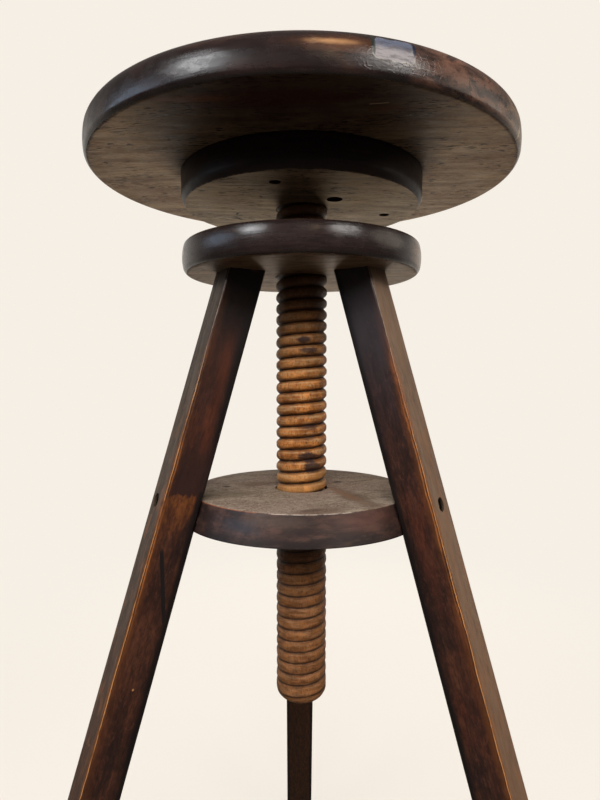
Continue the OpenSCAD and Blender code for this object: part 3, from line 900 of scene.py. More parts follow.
def varnish(f, grain, dark, thin, gloss_low, gloss_high):
    bands = streaks(f, grain, (0.3, 0.2, 0.1))
    clouds = f.noise(grain, (22, 30, 30), 4, 0.6, 0.5)
    share = f.calc("MULTIPLY", f.spread(bands, 0.35, 0.75), f.spread(clouds, 0.35, 0.72))
    colour = f.mix(share, dark, thin)
    colour = f.paint(colour, srgb(16, 10, 9), f.spread(fibres(f, grain), 0.5, 0.7), 0.35)
    gloss = f.spread(f.noise(grain, (50, 190, 190), 5, 0.65), 0.3, 0.75, gloss_low, gloss_high)
    return colour, gloss

# %% [markdown]
# The undersides were never varnished. Old bare wood is grey-brown and blotchy at every size, from wide tints
# down to specks, so the recipe paints the same few colours over each other with finer and finer noise. Pores
# come next, then cracks, and last the marks and scratches of the one board.

# %% Bare wood
DUSTY = 0.3


def bare_wood(name, dark, light, tint, roughness=0.5, cracks=0.0, pored=1.0, marks=(), scratches=()):
    """Marks are (centre, half sizes, colour, strength), and scratches (start, end, width, colour)."""
    f = Finish(name)
    grain = f.attribute("grain")
    ragged = f.noise(grain, (60, 190, 190), 4, 0.6)
    colour = f.mix(f.spread(f.noise(grain, (11, 95, 95), 5, 0.66, 0.5), 0.30, 0.66), dark, light)
    for over, per_metre, detail, rough, start, end, strength in (
            (tint, (9, 22, 22), 5, 0.65, 0.42, 0.62, 0.65), (dark, (30, 80, 80), 4, 0.65, 0.45, 0.68, 0.4),
            (dark, (75, 520, 520), 4, 0.68, 0.46, 0.62, 0.45)):
        bands = f.spread(f.noise(grain, per_metre, detail, rough), start, end)
        colour = f.paint(colour, over, bands, strength)
    bloom = f.noise(grain, (50, 75, 75), 5, 0.7)
    speck = f.noise(grain, (300, 560, 560), 3, 0.7)
    for pattern, pale, pale_from, pale_to, dark_from, dark_to in (
            (bloom, srgb(132, 122, 104), 0.46, 0.62, 0.46, 0.32), (speck, light, 0.5, 0.66, 0.48, 0.34)):
        colour = f.paint(colour, pale, f.spread(pattern, pale_from, pale_to), DUSTY)
        colour = f.paint(colour, dark, f.spread(pattern, dark_from, dark_to), DUSTY)
    pore = pores(f, grain, pored)
    colour = f.paint(colour, srgb(26, 19, 15), pore, 0.85)
    crack = f.product(f.spread(f.cells(grain, (30, 170, 170)), 0.030, 0.008),
                      f.spread(f.noise(grain, (22, 45, 45), 3), 0.5, 0.6), cracks)
    colour = f.paint(colour, srgb(24, 17, 14), crack)
    for centre, size, mark, strength in marks:
        colour = f.paint(colour, mark, f.spot(grain, centre, size, 1.0, ragged, 0.8), strength)
    for start, end, width, mark in scratches:
        colour = f.paint(colour, mark, f.stroke(grain, start, end, width))
    normal = f.bump(f.calc("SUBTRACT", 1.0, f.calc("MAXIMUM", pore, crack)), 0.00010)
    normal = f.bump(f.noise(grain, (90, 620, 620), 4, 0.65), 0.00006, normal)
    return f.done(colour, f.spread(ragged, 0.3, 0.7, roughness - 0.06, roughness + 0.1), normal,
                  Specular_IOR_Level=0.14)

# %% [markdown]
# A piece may wear more than one finish. `wear_finish` gives a piece its materials, the main one first.
# `paint_faces` then gives the faces that pass a test another one of them, as Assign does in edit mode.

# %% Putting a finish on a piece
def wear_finish(piece, *materials):
    piece.data.materials.clear()
    for material in materials:
        piece.data.materials.append(material)


def paint_faces(piece, number, test):
    """Gives the faces that pass the test the piece's material of that number."""
    only(piece)
    bpy.ops.object.mode_set(mode="EDIT")
    count = pick(piece, "faces", test)
    piece.active_material_index = number
    bpy.ops.object.material_slot_assign()
    bpy.ops.mesh.select_all(action="DESELECT")
    bpy.ops.object.mode_set(mode="OBJECT")
    print(count, "faces of", piece.name, "get", piece.material_slots[number].material.name)


def underside(bottom):
    """A test for the faces that look down, at a piece's bottom."""
    return lambda place, face: face.normal.z < -0.85 and place.z < bottom + 0.0005


def upper_side(top):
    """A test for the faces that look up, at a piece's top."""
    return lambda place, face: face.normal.z > 0.85 and place.z > top - 0.0005

# %% [markdown]
# The seat's edge and top have an old dark varnish, almost black, with reddish brown where it is thin. The
# varnish has lasted on the left. On the right it has worn to brown, with dark flakes bitten into it, and the
# middle of the top, where people sat, is thinner and redder. The far right end is a paler golden tan, partly
# wear and partly a painted reflection. The marks are placed with the rim attribute: along the edge from the
# front, up from the underside, and out from the axis.

# %% Seat varnish and its worn right side
f = Finish("seat_varnish")
grain, rim = f.attribute("grain"), f.attribute("rim")
colour, gloss = varnish(f, grain, srgb(28, 20, 20), srgb(60, 41, 35), 0.18, 0.36)
ragged = f.noise(grain, (110, 190, 190), 4, 0.6)
blotches = f.noise(rim, (55, 150, 90), 5, 0.65, 0.6)
right_side = f.spot(rim, (0.112, 0.012, SEAT_R), (0.060, 0.04, 0.030), 0.9, ragged, 0.6)
worn = f.mix(f.spread(blotches, 0.35, 0.62), srgb(56, 40, 35), srgb(126, 88, 70))
colour = f.paint(colour, worn, right_side, 0.6)
# Painted reflection, partly wear: the far right end of the edge is painted a paler golden tan.
far_right = f.spot(rim, (0.188, 0.013, SEAT_R), (0.064, 0.04, 0.018), 0.7, ragged, 0.6)
worn = f.mix(f.spread(blotches, 0.4, 0.6), srgb(92, 66, 48), srgb(150, 118, 84))
colour = f.paint(colour, worn, far_right, 0.75)
sat_on = f.spot(grain, (0.0, -0.01, SEAT_TOP - SEAT_BOTTOM), (0.125, 0.115, 0.02), 0.9,
                f.noise(grain, (9, 26, 26), 4, 0.6), 0.7)
colour = f.paint(colour, srgb(100, 62, 42), sat_on, f.spread(streaks(f, grain), 0.35, 0.6), 0.6)
bitten = f.product(f.spread(f.noise(rim, (190, 330, 200), 4, 0.65, 0.4), 0.54, 0.60),
                   f.spot(rim, (0.118, 0.006, SEAT_R), (0.062, 0.013, 0.03), 0.8, ragged, 0.6))
colour = f.paint(colour, srgb(27, 19, 17), bitten, 0.85)
f.so_far("varnish and worn side")

# %% [markdown]
# Near the front is a warm place where the varnish is rubbed almost through: a soft brown halo around a pale
# golden core, which is partly a painted warm highlight, with a thin dark lap in the varnish below it. The lap
# wavers, because it is drawn on a place that is moved about a little by noise.

# %% Rubbed place and painted warm highlight at the front
halo = f.spot(rim, (0.026, 0.0140, SEAT_R), (0.030, 0.0070, 0.05), 0.6, ragged, 0.95)
colour = f.paint(colour, srgb(108, 68, 44), halo, 0.5)
# Painted highlight, partly rubbed wood: the pale golden core.
core = f.spot(rim, (0.022, 0.0150, SEAT_R), (0.018, 0.0022, 0.05), 0.7, ragged, 0.95)
colour = f.paint(colour, srgb(192, 144, 98), core, 0.65)

SWAY = 0.0035
aside, upwards = f.noise(rim, (90, 90, 90), 2), f.noise(rim, (120, 120, 120), 2, shift=(3, 1, 2))
sway = f.add("CombineXYZ", {"X": aside, "Y": upwards}).outputs[0]
sway = f.vector_calc("SUBTRACT", sway, (0.5, 0.5, 0))[0]
sway = f.add("VectorMath", {0: sway, "Scale": SWAY}, operation="SCALE").outputs[0]
swayed = f.vector_calc("ADD", rim, sway)[0]
LAP_HEIGHT = 0.0092
from_lap = f.calc("ABSOLUTE", f.calc("SUBTRACT", f.split(swayed)["Y"], LAP_HEIGHT))
lap = f.product(f.spread(from_lap, 0.0007, 0.0002),
                f.spot(rim, (0.026, LAP_HEIGHT, SEAT_R), (0.020, 0.004, 0.05), 0.4, ragged, 0.4))
colour = f.paint(colour, srgb(24, 17, 16), lap, 0.8)
f.so_far("rubbed place")

# %% [markdown]
# Beside it is a small patch with round corners, where something was once stuck on: bluish grey above and
# paler below, where the paler part is partly a painted highlight, with a dark strip and a notch at its ends.
# Old glue shows as a faint pale outline and as fine cracked lines under it. It is a distance from a rounded
# box, which gives the patch and its outline alike.

# %% Patch on the seat's edge
patch_out = f.rounded_box(rim, (0.0535, 0.0142, SEAT_R), (0.0108, 0.0054, 0.05), 0.0024, sway)
patch = f.spread(patch_out, 0.0002, -0.0003)
from_outline = f.calc("ABSOLUTE", f.calc("SUBTRACT", patch_out, 0.0002))
outline = f.product(f.spread(from_outline, 0.0005, 0.0001), f.spread(ragged, 0.36, 0.5))
outline = f.product(outline, f.spread(f.split(rim)["Y"], 0.0145, 0.0115))
patch_height = f.calc("ADD", f.split(rim)["Y"], f.product(f.calc("SUBTRACT", ragged, 0.5), 0.006))
# The paler lower part of the patch is partly a painted highlight.
patch_colour = f.mix(f.spread(patch_height, 0.0170, 0.0125), srgb(86, 92, 110), srgb(156, 150, 152))
patch_dirt = f.spread(f.noise(rim, (110, 420, 60), 4, 0.65), 0.46, 0.62)
patch_colour = f.paint(patch_colour, srgb(66, 62, 68), patch_dirt, 0.6)
colour = f.paint(colour, patch_colour, patch, 0.78)
strip = f.spot(rim, (0.0425, 0.0150, SEAT_R), (0.0013, 0.0095, 0.05), 0.5, ragged, 0.5)
colour = f.paint(colour, srgb(34, 40, 36), strip, 0.9)
notch = f.spot(rim, (0.0645, 0.0165, SEAT_R), (0.0011, 0.0050, 0.05), 0.5, ragged, 0.5)
colour = f.paint(colour, srgb(22, 26, 44), notch)
lines = f.spread(f.cells(swayed, (62, 190, 20)), 0.05, 0.018)
smear = f.product(f.spot(rim, (0.062, 0.0085, SEAT_R), (0.022, 0.0034, 0.05), 0.9, ragged, 0.5), lines)
glue = f.calc("MAXIMUM", f.product(smear, 0.2), f.product(outline, 0.45))
colour = f.paint(colour, srgb(196, 186, 176), glue)
nick = f.spot(rim, (0.170, 0.0035, SEAT_R), (0.0016, 0.0060, 0.05), 0.9, ragged, 0.5)
colour = f.paint(colour, srgb(190, 168, 136), nick)
f.so_far("patch, glue and the nick's bare wood")

# %% [markdown]
# Gloss and relief finish the varnish. The patch, the glue and the worn side are duller. The relief is a soft
# waviness of the old brushwork and a very fine crackle, so that the highlights break up as they do on old
# varnish.

# %% Seat's gloss and relief
gloss = f.calc("ADD", gloss, f.product(f.calc("MAXIMUM", patch, glue), 0.16))
gloss = f.calc("ADD", gloss, f.product(f.calc("MAXIMUM", right_side, far_right), 0.04))
crackle = f.product(f.spread(f.cells(grain, (330, 330, 330)), 0.10, 0.0),
                    f.spread(f.noise(grain, (18, 18, 18), 3), 0.45, 0.6))
normal = f.bump(f.noise(grain, (26, 26, 300), 5, 0.62), 0.00011)
normal = f.bump(f.noise(grain, (16, 16, 60), 3, 0.5), 0.0003, normal)
normal = f.bump(f.calc("ADD", crackle, glue), 0.00003, normal)
seat_varnish = f.done(colour, gloss, normal, Specular_IOR_Level=0.5)

# %% [markdown]
# The seat's underside is bare. Near the front rim it is painted darker, as painted shade where the fixing
# disc's shadow falls, and it is redder there, with two orange tints, a cluster of pores on the left and one
# light scratch.

# %% Underside of the seat
# The first mark is painted shade: the dark front part, where the fixing disc's shadow falls.
seat_bare = bare_wood("seat_underside", srgb(90, 70, 54), srgb(158, 136, 110), srgb(112, 84, 62), pored=1.4,
                      marks=(((0.0, -0.132, 0), (0.125, 0.080, 0.02), srgb(40, 21, 14), 0.8),
                             ((-0.010, -0.126, 0), (0.085, 0.014, 0.02), srgb(66, 34, 22), 0.6),
                             ((-0.052, -0.128, 0), (0.030, 0.006, 0.01), srgb(132, 76, 40), 0.5),
                             ((0.058, -0.112, 0), (0.022, 0.005, 0.01), srgb(120, 76, 44), 0.35),
                             ((-0.105, -0.090, 0), (0.006, 0.0012, 0.01), srgb(30, 22, 18), 0.9)),
                      scratches=(((0.042, -0.1175, 0), (0.052, -0.1185, 0), 0.0009, srgb(176, 158, 134)),))
wear_finish(seat, seat_varnish, seat_bare)
paint_faces(seat, 1, underside(SEAT_BOTTOM))

# %% [markdown]
# The fixing disc, the hub and the lower disc have the same kind of varnish on their edges, each with its own
# colours, gloss and marks. So one recipe makes all three. It mottles the varnish, puts small specks where it
# has crackled, tints places on the rim, some of them as painted reflections, and rubs an arris to bare wood,
# where a pale line can be partly a painted highlight.

# %% Edge varnish of the discs
def edge_varnish(name, dark, thin, gloss, shine, speckled, mottle=(34, 34, 420), tints=(), rubs_and_highlights=()):
    """Tints are (centre, half sizes, colour, strength) on the rim, some of them painted reflections. Rubs and
    highlights are (height, radius, width, left colour, middle colour, end on the right): rubbed arrises,
    some partly a painted highlight."""
    f = Finish(name)
    grain, rim = f.attribute("grain"), f.attribute("rim")
    colour, roughness = varnish(f, grain, dark, thin, *gloss)
    ragged = f.noise(grain, (110, 190, 190), 4, 0.6)
    around_rim = f.noise(grain, mottle, 5, 0.66)
    colour = f.paint(colour, thin, f.spread(around_rim, 0.46, 0.64), 0.45)
    colour = f.paint(colour, dark, f.spread(around_rim, 0.46, 0.34), 0.4)
    specks = f.product(f.spread(f.cells(grain, (620, 620, 620), "F1"), 0.24, 0.12),
                       f.spread(f.noise(grain, (40, 60, 60), 3), 0.5, 0.6), speckled)
    colour = f.paint(colour, srgb(16, 12, 12), specks)
    for centre, size, tint, strength in tints:
        colour = f.paint(colour, tint, f.spot(rim, centre, size, 1.0, around_rim, 0.9), strength)
    for height, radius, width, left, middle, end in rubs_and_highlights:
        rub_and_highlight = f.product(f.arris(rim, height, radius, width), f.spread(ragged, 0.40, 0.56),
                        f.spread(f.split(rim)["X"], end, end - 0.012))
        worn = f.mix(f.spread(f.split(rim)["X"], -0.022, -0.012), left, middle)
        colour = f.paint(colour, worn, rub_and_highlight, 0.9)
    normal = f.bump(f.noise(grain, (25, 25, 300), 5, 0.65), 0.00012)
    normal = f.bump(f.calc("SUBTRACT", 1.0, specks), 0.00006, normal)
    return f.done(colour, roughness, normal, Specular_IOR_Level=shine)

# %% [markdown]
# The fixing disc hides in the seat's shadow, with a dull edge and a rubbed arris. Its underside has long
# cracks. The hub's edge is the glossiest place of the stool, and at the far left and right it is painted a
# paler brown, partly wear and partly a painted reflection.

# %% Finishes of the fixing disc and the hub
ALL_AROUND = 1.0

disc_varnish = edge_varnish(
    "fixing_disc_varnish", srgb(27, 18, 17), srgb(50, 32, 27), gloss=(0.36, 0.5), shine=0.19, speckled=0.0,
    rubs_and_highlights=((0.0002, DISC_FLAT_R, 0.0008, srgb(110, 88, 68), srgb(92, 72, 56), ALL_AROUND),))
disc_face = bare_wood("fixing_disc_face", srgb(96, 80, 64), srgb(160, 142, 118), srgb(118, 98, 76),
                      cracks=1.0)
wear_finish(seat_disc, disc_varnish, disc_face)
paint_faces(seat_disc, 1, underside(DISC_BOTTOM))

# Painted reflection, partly wear: the paler brown tints at the hub's far right and far left ends.
hub_varnish = edge_varnish(
    "hub_varnish", srgb(34, 25, 24), srgb(56, 39, 35), gloss=(0.18, 0.33), shine=0.5, speckled=0.8,
    tints=(((0.118, 0.010, HUB_R), (0.034, 0.02, 0.02), srgb(150, 114, 82), 0.8),
           ((-0.122, 0.010, HUB_R), (0.026, 0.02, 0.02), srgb(128, 106, 84), 0.65)))
hub_underside = bare_wood("hub_underside", srgb(86, 69, 54), srgb(138, 117, 94), srgb(104, 76, 54),
                          cracks=0.4)
hub_top = bare_wood("hub_top", srgb(70, 56, 46), srgb(108, 93, 78), srgb(84, 64, 50), roughness=0.65)
wear_finish(hub, hub_varnish, hub_underside, hub_top)
paint_faces(hub, 1, underside(HUB_BOTTOM))
paint_faces(hub, 2, upper_side(HUB_TOP))

# %% [markdown]
# The lower disc's top is varnished too, but dust lies on it, in specks of two sizes. A brown stain and a
# rusty streak run out from the screw on the right, and there are a few small dark marks. They are spots in
# the disc's grain, which starts at (1.1, 0.4, 0.2) so that its noise differs from the other pieces'.

# %% Dusty top of the lower disc
def dusty_top():
    f = Finish("lower_disc_dust")
    grain = f.attribute("grain")
    ragged = f.noise(grain, (90, 120, 120), 4, 0.65)
    clouds = f.spread(f.noise(grain, (40, 70, 70), 5, 0.66, 0.4), 0.35, 0.65)
    colour = f.mix(clouds, srgb(118, 100, 84), srgb(158, 141, 124))
    colour = f.paint(colour, srgb(126, 102, 92), f.spread(f.noise(grain, (14, 22, 22), 3), 0.45, 0.6), 0.5)
    for per_metre, share in (((220, 300, 300), 0.45), ((700, 900, 900), 0.5)):
        dust = f.noise(grain, per_metre, 3, 0.7)
        colour = f.paint(colour, srgb(172, 158, 142), f.spread(dust, 0.48, 0.62), share)
        colour = f.paint(colour, srgb(84, 70, 58), f.spread(dust, 0.47, 0.34), share)
    for centre, size, mark, strength in (
            ((1.040, 0.395, 0.22), (0.040, 0.016, 0.02), srgb(92, 80, 62), 0.5),
            ((1.1225, 0.350, 0.22), (0.012, 0.052, 0.02), srgb(92, 72, 58), 0.65),
            ((1.1205, 0.362, 0.22), (0.0060, 0.040, 0.02), srgb(134, 94, 68), 0.45),
            ((1.0727, 0.4236, 0.22), (0.020, 0.014, 0.02), srgb(98, 74, 58), 0.5),
            ((1.0811, 0.3310, 0.22), (0.011, 0.006, 0.02), srgb(70, 58, 52), 0.6),
            ((1.085, 0.325, 0.22), (0.028, 0.012, 0.02), srgb(96, 72, 62), 0.55),
            ((1.0478, 0.4228, 0.22), (0.0050, 0.0034, 0.02), srgb(52, 40, 32), 0.9),
            ((1.1339, 0.4090, 0.22), (0.0055, 0.0034, 0.02), srgb(46, 36, 30), 0.9)):
        colour = f.paint(colour, mark, f.spot(grain, centre, size, 1.0, ragged, 0.7), strength)
    normal = f.bump(f.noise(grain, (600, 800, 800), 4, 0.65), 0.00006)
    return f.done(colour, f.spread(ragged, 0.3, 0.7, 0.68, 0.86), normal, Specular_IOR_Level=0.14)

# %% [markdown]
# The lower disc's side is more worn than the others, and mottled purple and reddish brown. Its crisp top edge
# is rubbed through: orange brown on the left and pale in the middle, where the pale line is partly a painted
# highlight. Its bottom edge is dark.

# %% Finishes of the lower disc
# The pale middle of the top edge's rub is partly a painted highlight.
guide_varnish = edge_varnish(
    "lower_disc_varnish", srgb(42, 31, 29), srgb(92, 64, 54), gloss=(0.4, 0.58), shine=0.35, speckled=0.6,
    mottle=(75, 75, 260),
    tints=(((-0.036, 0.010, GUIDE_TOP_R), (0.020, 0.008, 0.03), srgb(52, 53, 62), 0.6),
           ((0.050, 0.014, GUIDE_TOP_R), (0.030, 0.009, 0.03), srgb(104, 66, 56), 0.35),
           ((-0.012, 0.015, GUIDE_TOP_R), (0.030, 0.006, 0.03), srgb(104, 84, 74), 0.35),
           ((0.0, -0.001, GUIDE_TOP_R), (0.6, 0.008, 0.06), srgb(30, 22, 21), 0.85)),
    rubs_and_highlights=((0.0197, GUIDE_TOP_R, 0.0008, srgb(160, 92, 54), srgb(196, 182, 168), 0.045),
          (0.0002, GUIDE_BOTTOM_R, 0.0012, srgb(30, 21, 19), srgb(28, 20, 18), ALL_AROUND)))
guide_face = bare_wood("lower_disc_face", srgb(70, 58, 47), srgb(112, 96, 80), srgb(86, 66, 50),
                       roughness=0.6)
wear_finish(guide, guide_varnish, guide_face, dusty_top())
paint_faces(guide, 1, underside(GUIDE_BOTTOM))
paint_faces(guide, 2, upper_side(GUIDE_TOP))

# %% [markdown]
# The legs are varnished dark red brown, smoky in bands and mottled by many small touches. All three share
# one material, and their grain starts at 0, 3 and 6 metres, so what is left of the grain after whole steps
# of 3 metres is how far down the leg a point lies. Near the hub the legs are painted almost black, as painted
# shade under the hub, and the right leg there a blue grey, as a painted sheen. The side that faces the
# stool's middle is painted darkest, as shade.

# %% Leg varnish
f = Finish("leg_varnish")
grain = f.attribute("grain")
parts = f.split(grain)
down = f.calc("MODULO", parts["X"], LEG_GRAIN_STEP)
colour, gloss = varnish(f, grain, srgb(54, 31, 24), srgb(106, 64, 45), 0.36, 0.54)
ragged = f.noise(grain, (60, 260, 260), 4, 0.6)
smoke = f.noise(grain, (16, 75, 75), 5, 0.66, 0.6)
colour = f.paint(colour, srgb(32, 21, 20), f.spread(smoke, 0.45, 0.60), 0.6)
colour = f.paint(colour, srgb(96, 50, 34), f.spread(smoke, 0.45, 0.32), 0.4)
mottled = f.noise(grain, (190, 460, 460), 4, 0.7)
colour = f.paint(colour, srgb(24, 16, 15), f.spread(mottled, 0.49, 0.64), 0.4)
colour = f.paint(colour, srgb(102, 62, 46), f.spread(mottled, 0.48, 0.34), 0.3)
right_leg = f.spread(parts["X"], 5.4, 5.6)
near_hub = f.spread(f.calc("ADD", down, f.product(f.calc("SUBTRACT", smoke, 0.5), 0.16)), 0.14, 0.02)
# Painted shade under the hub on the top of each leg; on the right leg a painted blue grey sheen there
# instead.
colour = f.paint(colour, f.mix(right_leg, srgb(12, 8, 8), srgb(46, 42, 46)), near_hub, 0.9)
# Painted shade: the side that faces the stool's middle is darkened.
colour = f.paint(colour, srgb(20, 13, 12), f.spread(parts["Z"], -LEG_T * 0.1, -LEG_T * 0.5), 0.6)
f.so_far("leg varnish")

# %% [markdown]
# The outer faces, which shoes and knees touch, are duller and greyer, with fine fibres. They turn browner
# further down, and the right one is the palest, with tan where its varnish is gone.

# %% Outer faces of the legs
outer = f.spread(parts["Z"], LEG_T * 0.47, LEG_T * 0.497)
worn = f.mix(f.spread(streaks(f, grain, (1, 2, 3)), 0.35, 0.65), srgb(52, 42, 34), srgb(88, 72, 58))
worn = f.paint(worn, srgb(44, 35, 29), f.spread(fibres(f, grain), 0.46, 0.64), 0.6)
worn = f.paint(worn, srgb(120, 100, 80), f.spread(mottled, 0.48, 0.36), 0.3)
worn = f.paint(worn, srgb(76, 50, 38), f.spread(down, 0.15, 0.35), 0.55)
worn = f.paint(worn, srgb(150, 118, 92), right_leg, 0.6)
tanned = f.spread(f.noise(grain, (45, 160, 160), 4, 0.7), 0.5, 0.66)
worn = f.paint(worn, srgb(148, 94, 58), tanned, f.spread(down, 0.06, 0.14), 0.5)
colour = f.paint(colour, worn, outer, f.spread(ragged, 0.3, 0.6, 0.7, 0.95))
f.so_far("outer faces")

# %% [markdown]
# The long outer edges are rubbed to bare orange brown wood, in a few lines beside each other: a wide patchy
# band, a thin bright line, a dark line, and the pale edge itself. Each is a range of one distance, which
# is above 0 on a side of the leg and below 0 on its outer face, and wavers a little along the leg. The inner
# edge of each side is painted dark, as painted shade.

# %% Rubbed edges of the legs
wavering = f.product(f.calc("SUBTRACT", f.noise(grain, (26, 60, 60), 5, 0.7), 0.5), 0.0035)
to_side = f.calc("SUBTRACT", LEG_W / 2, f.calc("ABSOLUTE", parts["Y"]))
to_outer = f.calc("SUBTRACT", LEG_T / 2, parts["Z"])
to_inner = f.calc("ADD", parts["Z"], LEG_T / 2)
from_edge = f.calc("ADD", f.calc("SUBTRACT", to_outer, to_side), wavering)
patchy = f.spread(f.noise(grain, (18, 90, 90), 4, 0.65), 0.36, 0.62, 0.2, 1.0)
band = f.product(f.spread(from_edge, 0.0075, 0.0), f.spread(from_edge, -0.0030, -0.0008), patchy,
                 f.spread(down, 0.0, 0.08))
colour = f.paint(colour, srgb(112, 64, 32), band, 0.72)
bright_part = f.product(f.spread(down, 0.05, 0.10), f.spread(down, 0.27, 0.20), patchy)
colour = f.paint(colour, srgb(160, 98, 52), f.spread(from_edge, 0.0027, 0.0022),
                 f.spread(from_edge, 0.0014, 0.0018), bright_part)
colour = f.paint(colour, srgb(58, 34, 22), f.spread(from_edge, 0.0017, 0.0012),
                 f.spread(from_edge, 0.0003, 0.0008), 0.7)
edge_colour = f.mix(f.spread(down, 0.04, 0.12), srgb(128, 112, 96), srgb(186, 132, 82))
colour = f.paint(colour, edge_colour, f.spread(from_edge, 0.0006, 0.0002),
                 f.spread(from_edge, -0.0005, -0.0001), f.spread(ragged, 0.36, 0.54, 0.3, 1.0))
# Painted shade along the inner edge of each side.
side_face = f.spread(to_side, 0.0022, 0.0016)
inner_edge_shade = f.spread(f.calc("ADD", to_inner, wavering), 0.0060, 0.0025)
colour = f.paint(colour, srgb(16, 13, 13), side_face, inner_edge_shade, 0.9)
f.so_far("rubbed edges")

# %% [markdown]
# The side of the left leg that faces the front has three places below each other. It is warm brown near the
# hub. A dark stain follows, which ends in a ragged line. Below that line the wood shows orange through the
# varnish, and the orange fades out downwards.

# %% Stain and rubbed place on the left leg
left_side = f.product(f.spread(parts["X"], 2.9, 2.95), f.spread(parts["X"], 4.0, 3.9),
                      f.spread(parts["Y"], 0.008, 0.012))
warm = f.product(left_side, f.spread(down, 0.03, 0.07), f.spread(down, 0.15, 0.11),
                 f.spread(from_edge, 0.001, 0.006), f.spread(to_inner, 0.004, 0.010))
colour = f.paint(colour, f.mix(f.spread(smoke, 0.4, 0.6), srgb(106, 54, 34), srgb(70, 38, 27)), warm, 0.45)
stain_end = f.calc("SUBTRACT", down, f.product(parts["Z"], 0.35))
tatters = f.product(f.calc("SUBTRACT", f.noise(grain, (70, 170, 170), 4, 0.65), 0.5), 0.016)
stain_end = f.calc("ADD", stain_end, tatters)
stain = f.product(left_side, f.spread(stain_end, 0.1602, 0.1580), f.spread(stain_end, 0.115, 0.145))
colour = f.paint(colour, f.mix(mottled, srgb(30, 18, 16), srgb(56, 34, 32)), stain,
                 f.spread(from_edge, 0.001, 0.006), 0.8)
fading = f.calc("ADD", stain_end, f.product(f.calc("SUBTRACT", smoke, 0.5), 0.09))
rubbed = f.product(left_side, f.spread(stain_end, 0.1582, 0.1604), f.spread(fading, 0.190, 0.160),
                   f.spread(to_inner, 0.004, 0.007))
orange = f.mix(f.spread(mottled, 0.34, 0.68), srgb(122, 70, 32), srgb(82, 45, 27))
colour = f.paint(colour, orange, rubbed, 0.72)
f.so_far("left leg's places")

# %% [markdown]
# The small marks come last: a reddish and an orange place on the right leg, the insides of the
# counterbores, painted darker with depth as painted shade, a long scratch and three chips on the left leg,
# and pores. The back leg is browner than the others. On all three, the inner face is painted darkest along
# its edges, as painted shade.

# %% Small marks on the legs
for centre, size, mark, strength in (
        ((6.205, -LEG_W / 2, 0), (0.050, 0.006, 0.007), srgb(90, 44, 32), 0.2),
        ((6.090, -LEG_W / 2, 0.012), (0.040, 0.006, 0.003), srgb(140, 78, 40), 0.35)):
    colour = f.paint(colour, mark, f.spot(grain, centre, size, 1.1, ragged, 0.6), strength)
# Painted shade inside the counterbores, darker with depth.
in_hole = f.product(f.spread(to_side, 0.003, 0.005), f.spread(to_outer, 0.0003, 0.0008),
                    f.spread(to_outer, 0.005, 0.0042), f.spread(down, 0.1, 0.12))
colour = f.paint(colour, f.mix(f.spread(to_outer, 0.0008, 0.0024), srgb(66, 56, 47), srgb(9, 8, 7)), in_hole)
scratch = f.stroke(grain, (3.1966, LEG_W / 2, 0.0054), (3.2445, LEG_W / 2, -0.0099), 0.0026)
colour = f.paint(colour, srgb(26, 22, 22), scratch)
for place in ((3.2566, LEG_W / 2 - 0.0003, LEG_T / 2 - 0.0004), (3.2875, LEG_W / 2, -0.0014),
              (3.3295, 0.002, LEG_T / 2)):
    colour = f.paint(colour, srgb(170, 120, 78), f.spot(grain, place, (0.0010, 0.0009, 0.0009)))
colour = f.paint(colour, srgb(22, 14, 12), pores(f, grain, 0.25))
back_leg = f.spread(parts["X"], 1.6, 1.4)
back_brown = f.mix(f.spread(mottled, 0.36, 0.62), srgb(72, 45, 25), srgb(44, 27, 16))
colour = f.paint(colour, back_brown, back_leg, 0.6)
# Painted shade along the edges of the inner face.
inner_sides = f.product(f.spread(to_inner, 0.002, 0.001),
                        f.spread(f.calc("ADD", to_side, wavering), 0.0034, 0.0020))
colour = f.paint(colour, srgb(15, 10, 8), inner_sides, 0.85)
gloss = f.calc("ADD", gloss, f.product(outer, 0.14))
normal = f.bump(f.noise(grain, (24, 300, 300), 5, 0.6), 0.00010)
sunk = f.calc("MAXIMUM", pores(f, grain, 0.5), scratch)
normal = f.bump(f.calc("SUBTRACT", 1.0, sunk), 0.00008, normal)
leg_varnish = f.done(colour, gloss, normal, Specular_IOR_Level=0.32)
for leg in legs.values():
    wear_finish(leg, leg_varnish)

# %% [markdown]
# The wooden screw was never varnished. Rubbing has polished it to an orange tan. Streaks lie along the grain,
# which runs up the screw, and others follow the turns of the thread, where wood rubbed on wood. Small dark
# ticks are the open pores.

# %% Wood of the screw
f = Finish("screw_wood")
grain, rim = f.attribute("grain"), f.attribute("rim")
parts = f.split(rim)
height = parts["Y"]
ticks = f.spread(f.noise(grain, (380, 1500, 1500), 3, 0.6), 0.5, 0.62)
ragged = f.noise(grain, (150, 220, 220), 5, 0.65)
uneven = f.calc("SUBTRACT", ragged, 0.5)
along_grain = f.spread(f.noise(grain, (50, 100, 100), 5, 0.65, 0.3), 0.38, 0.62)
colour = f.mix(along_grain, srgb(140, 84, 38), srgb(204, 132, 68))
with_thread = f.noise(grain, (560, 60, 60), 5, 0.66)
colour = f.paint(colour, srgb(182, 150, 108), f.spread(with_thread, 0.48, 0.62), 0.55)
colour = f.paint(colour, srgb(108, 64, 32), f.spread(with_thread, 0.47, 0.34), 0.55)
colour = f.paint(colour, srgb(82, 46, 22), ticks, 0.65)
f.so_far("bare wood of the screw")

# %% [markdown]
# The grooves and the flanks beside them are painted darker, as painted shade, and the upper flank of each
# crest lighter, as a painted highlight, so the recipe needs to know where a point lies on the thread. The
# height is counted in turns, less the way around: what is left after the whole turns is 0 and 1 in the
# groove, and a half in the middle of the crest. The upper part of the screw is more olive, the part just
# above the lower disc is the palest tan, and below the disc it is browner and duller.

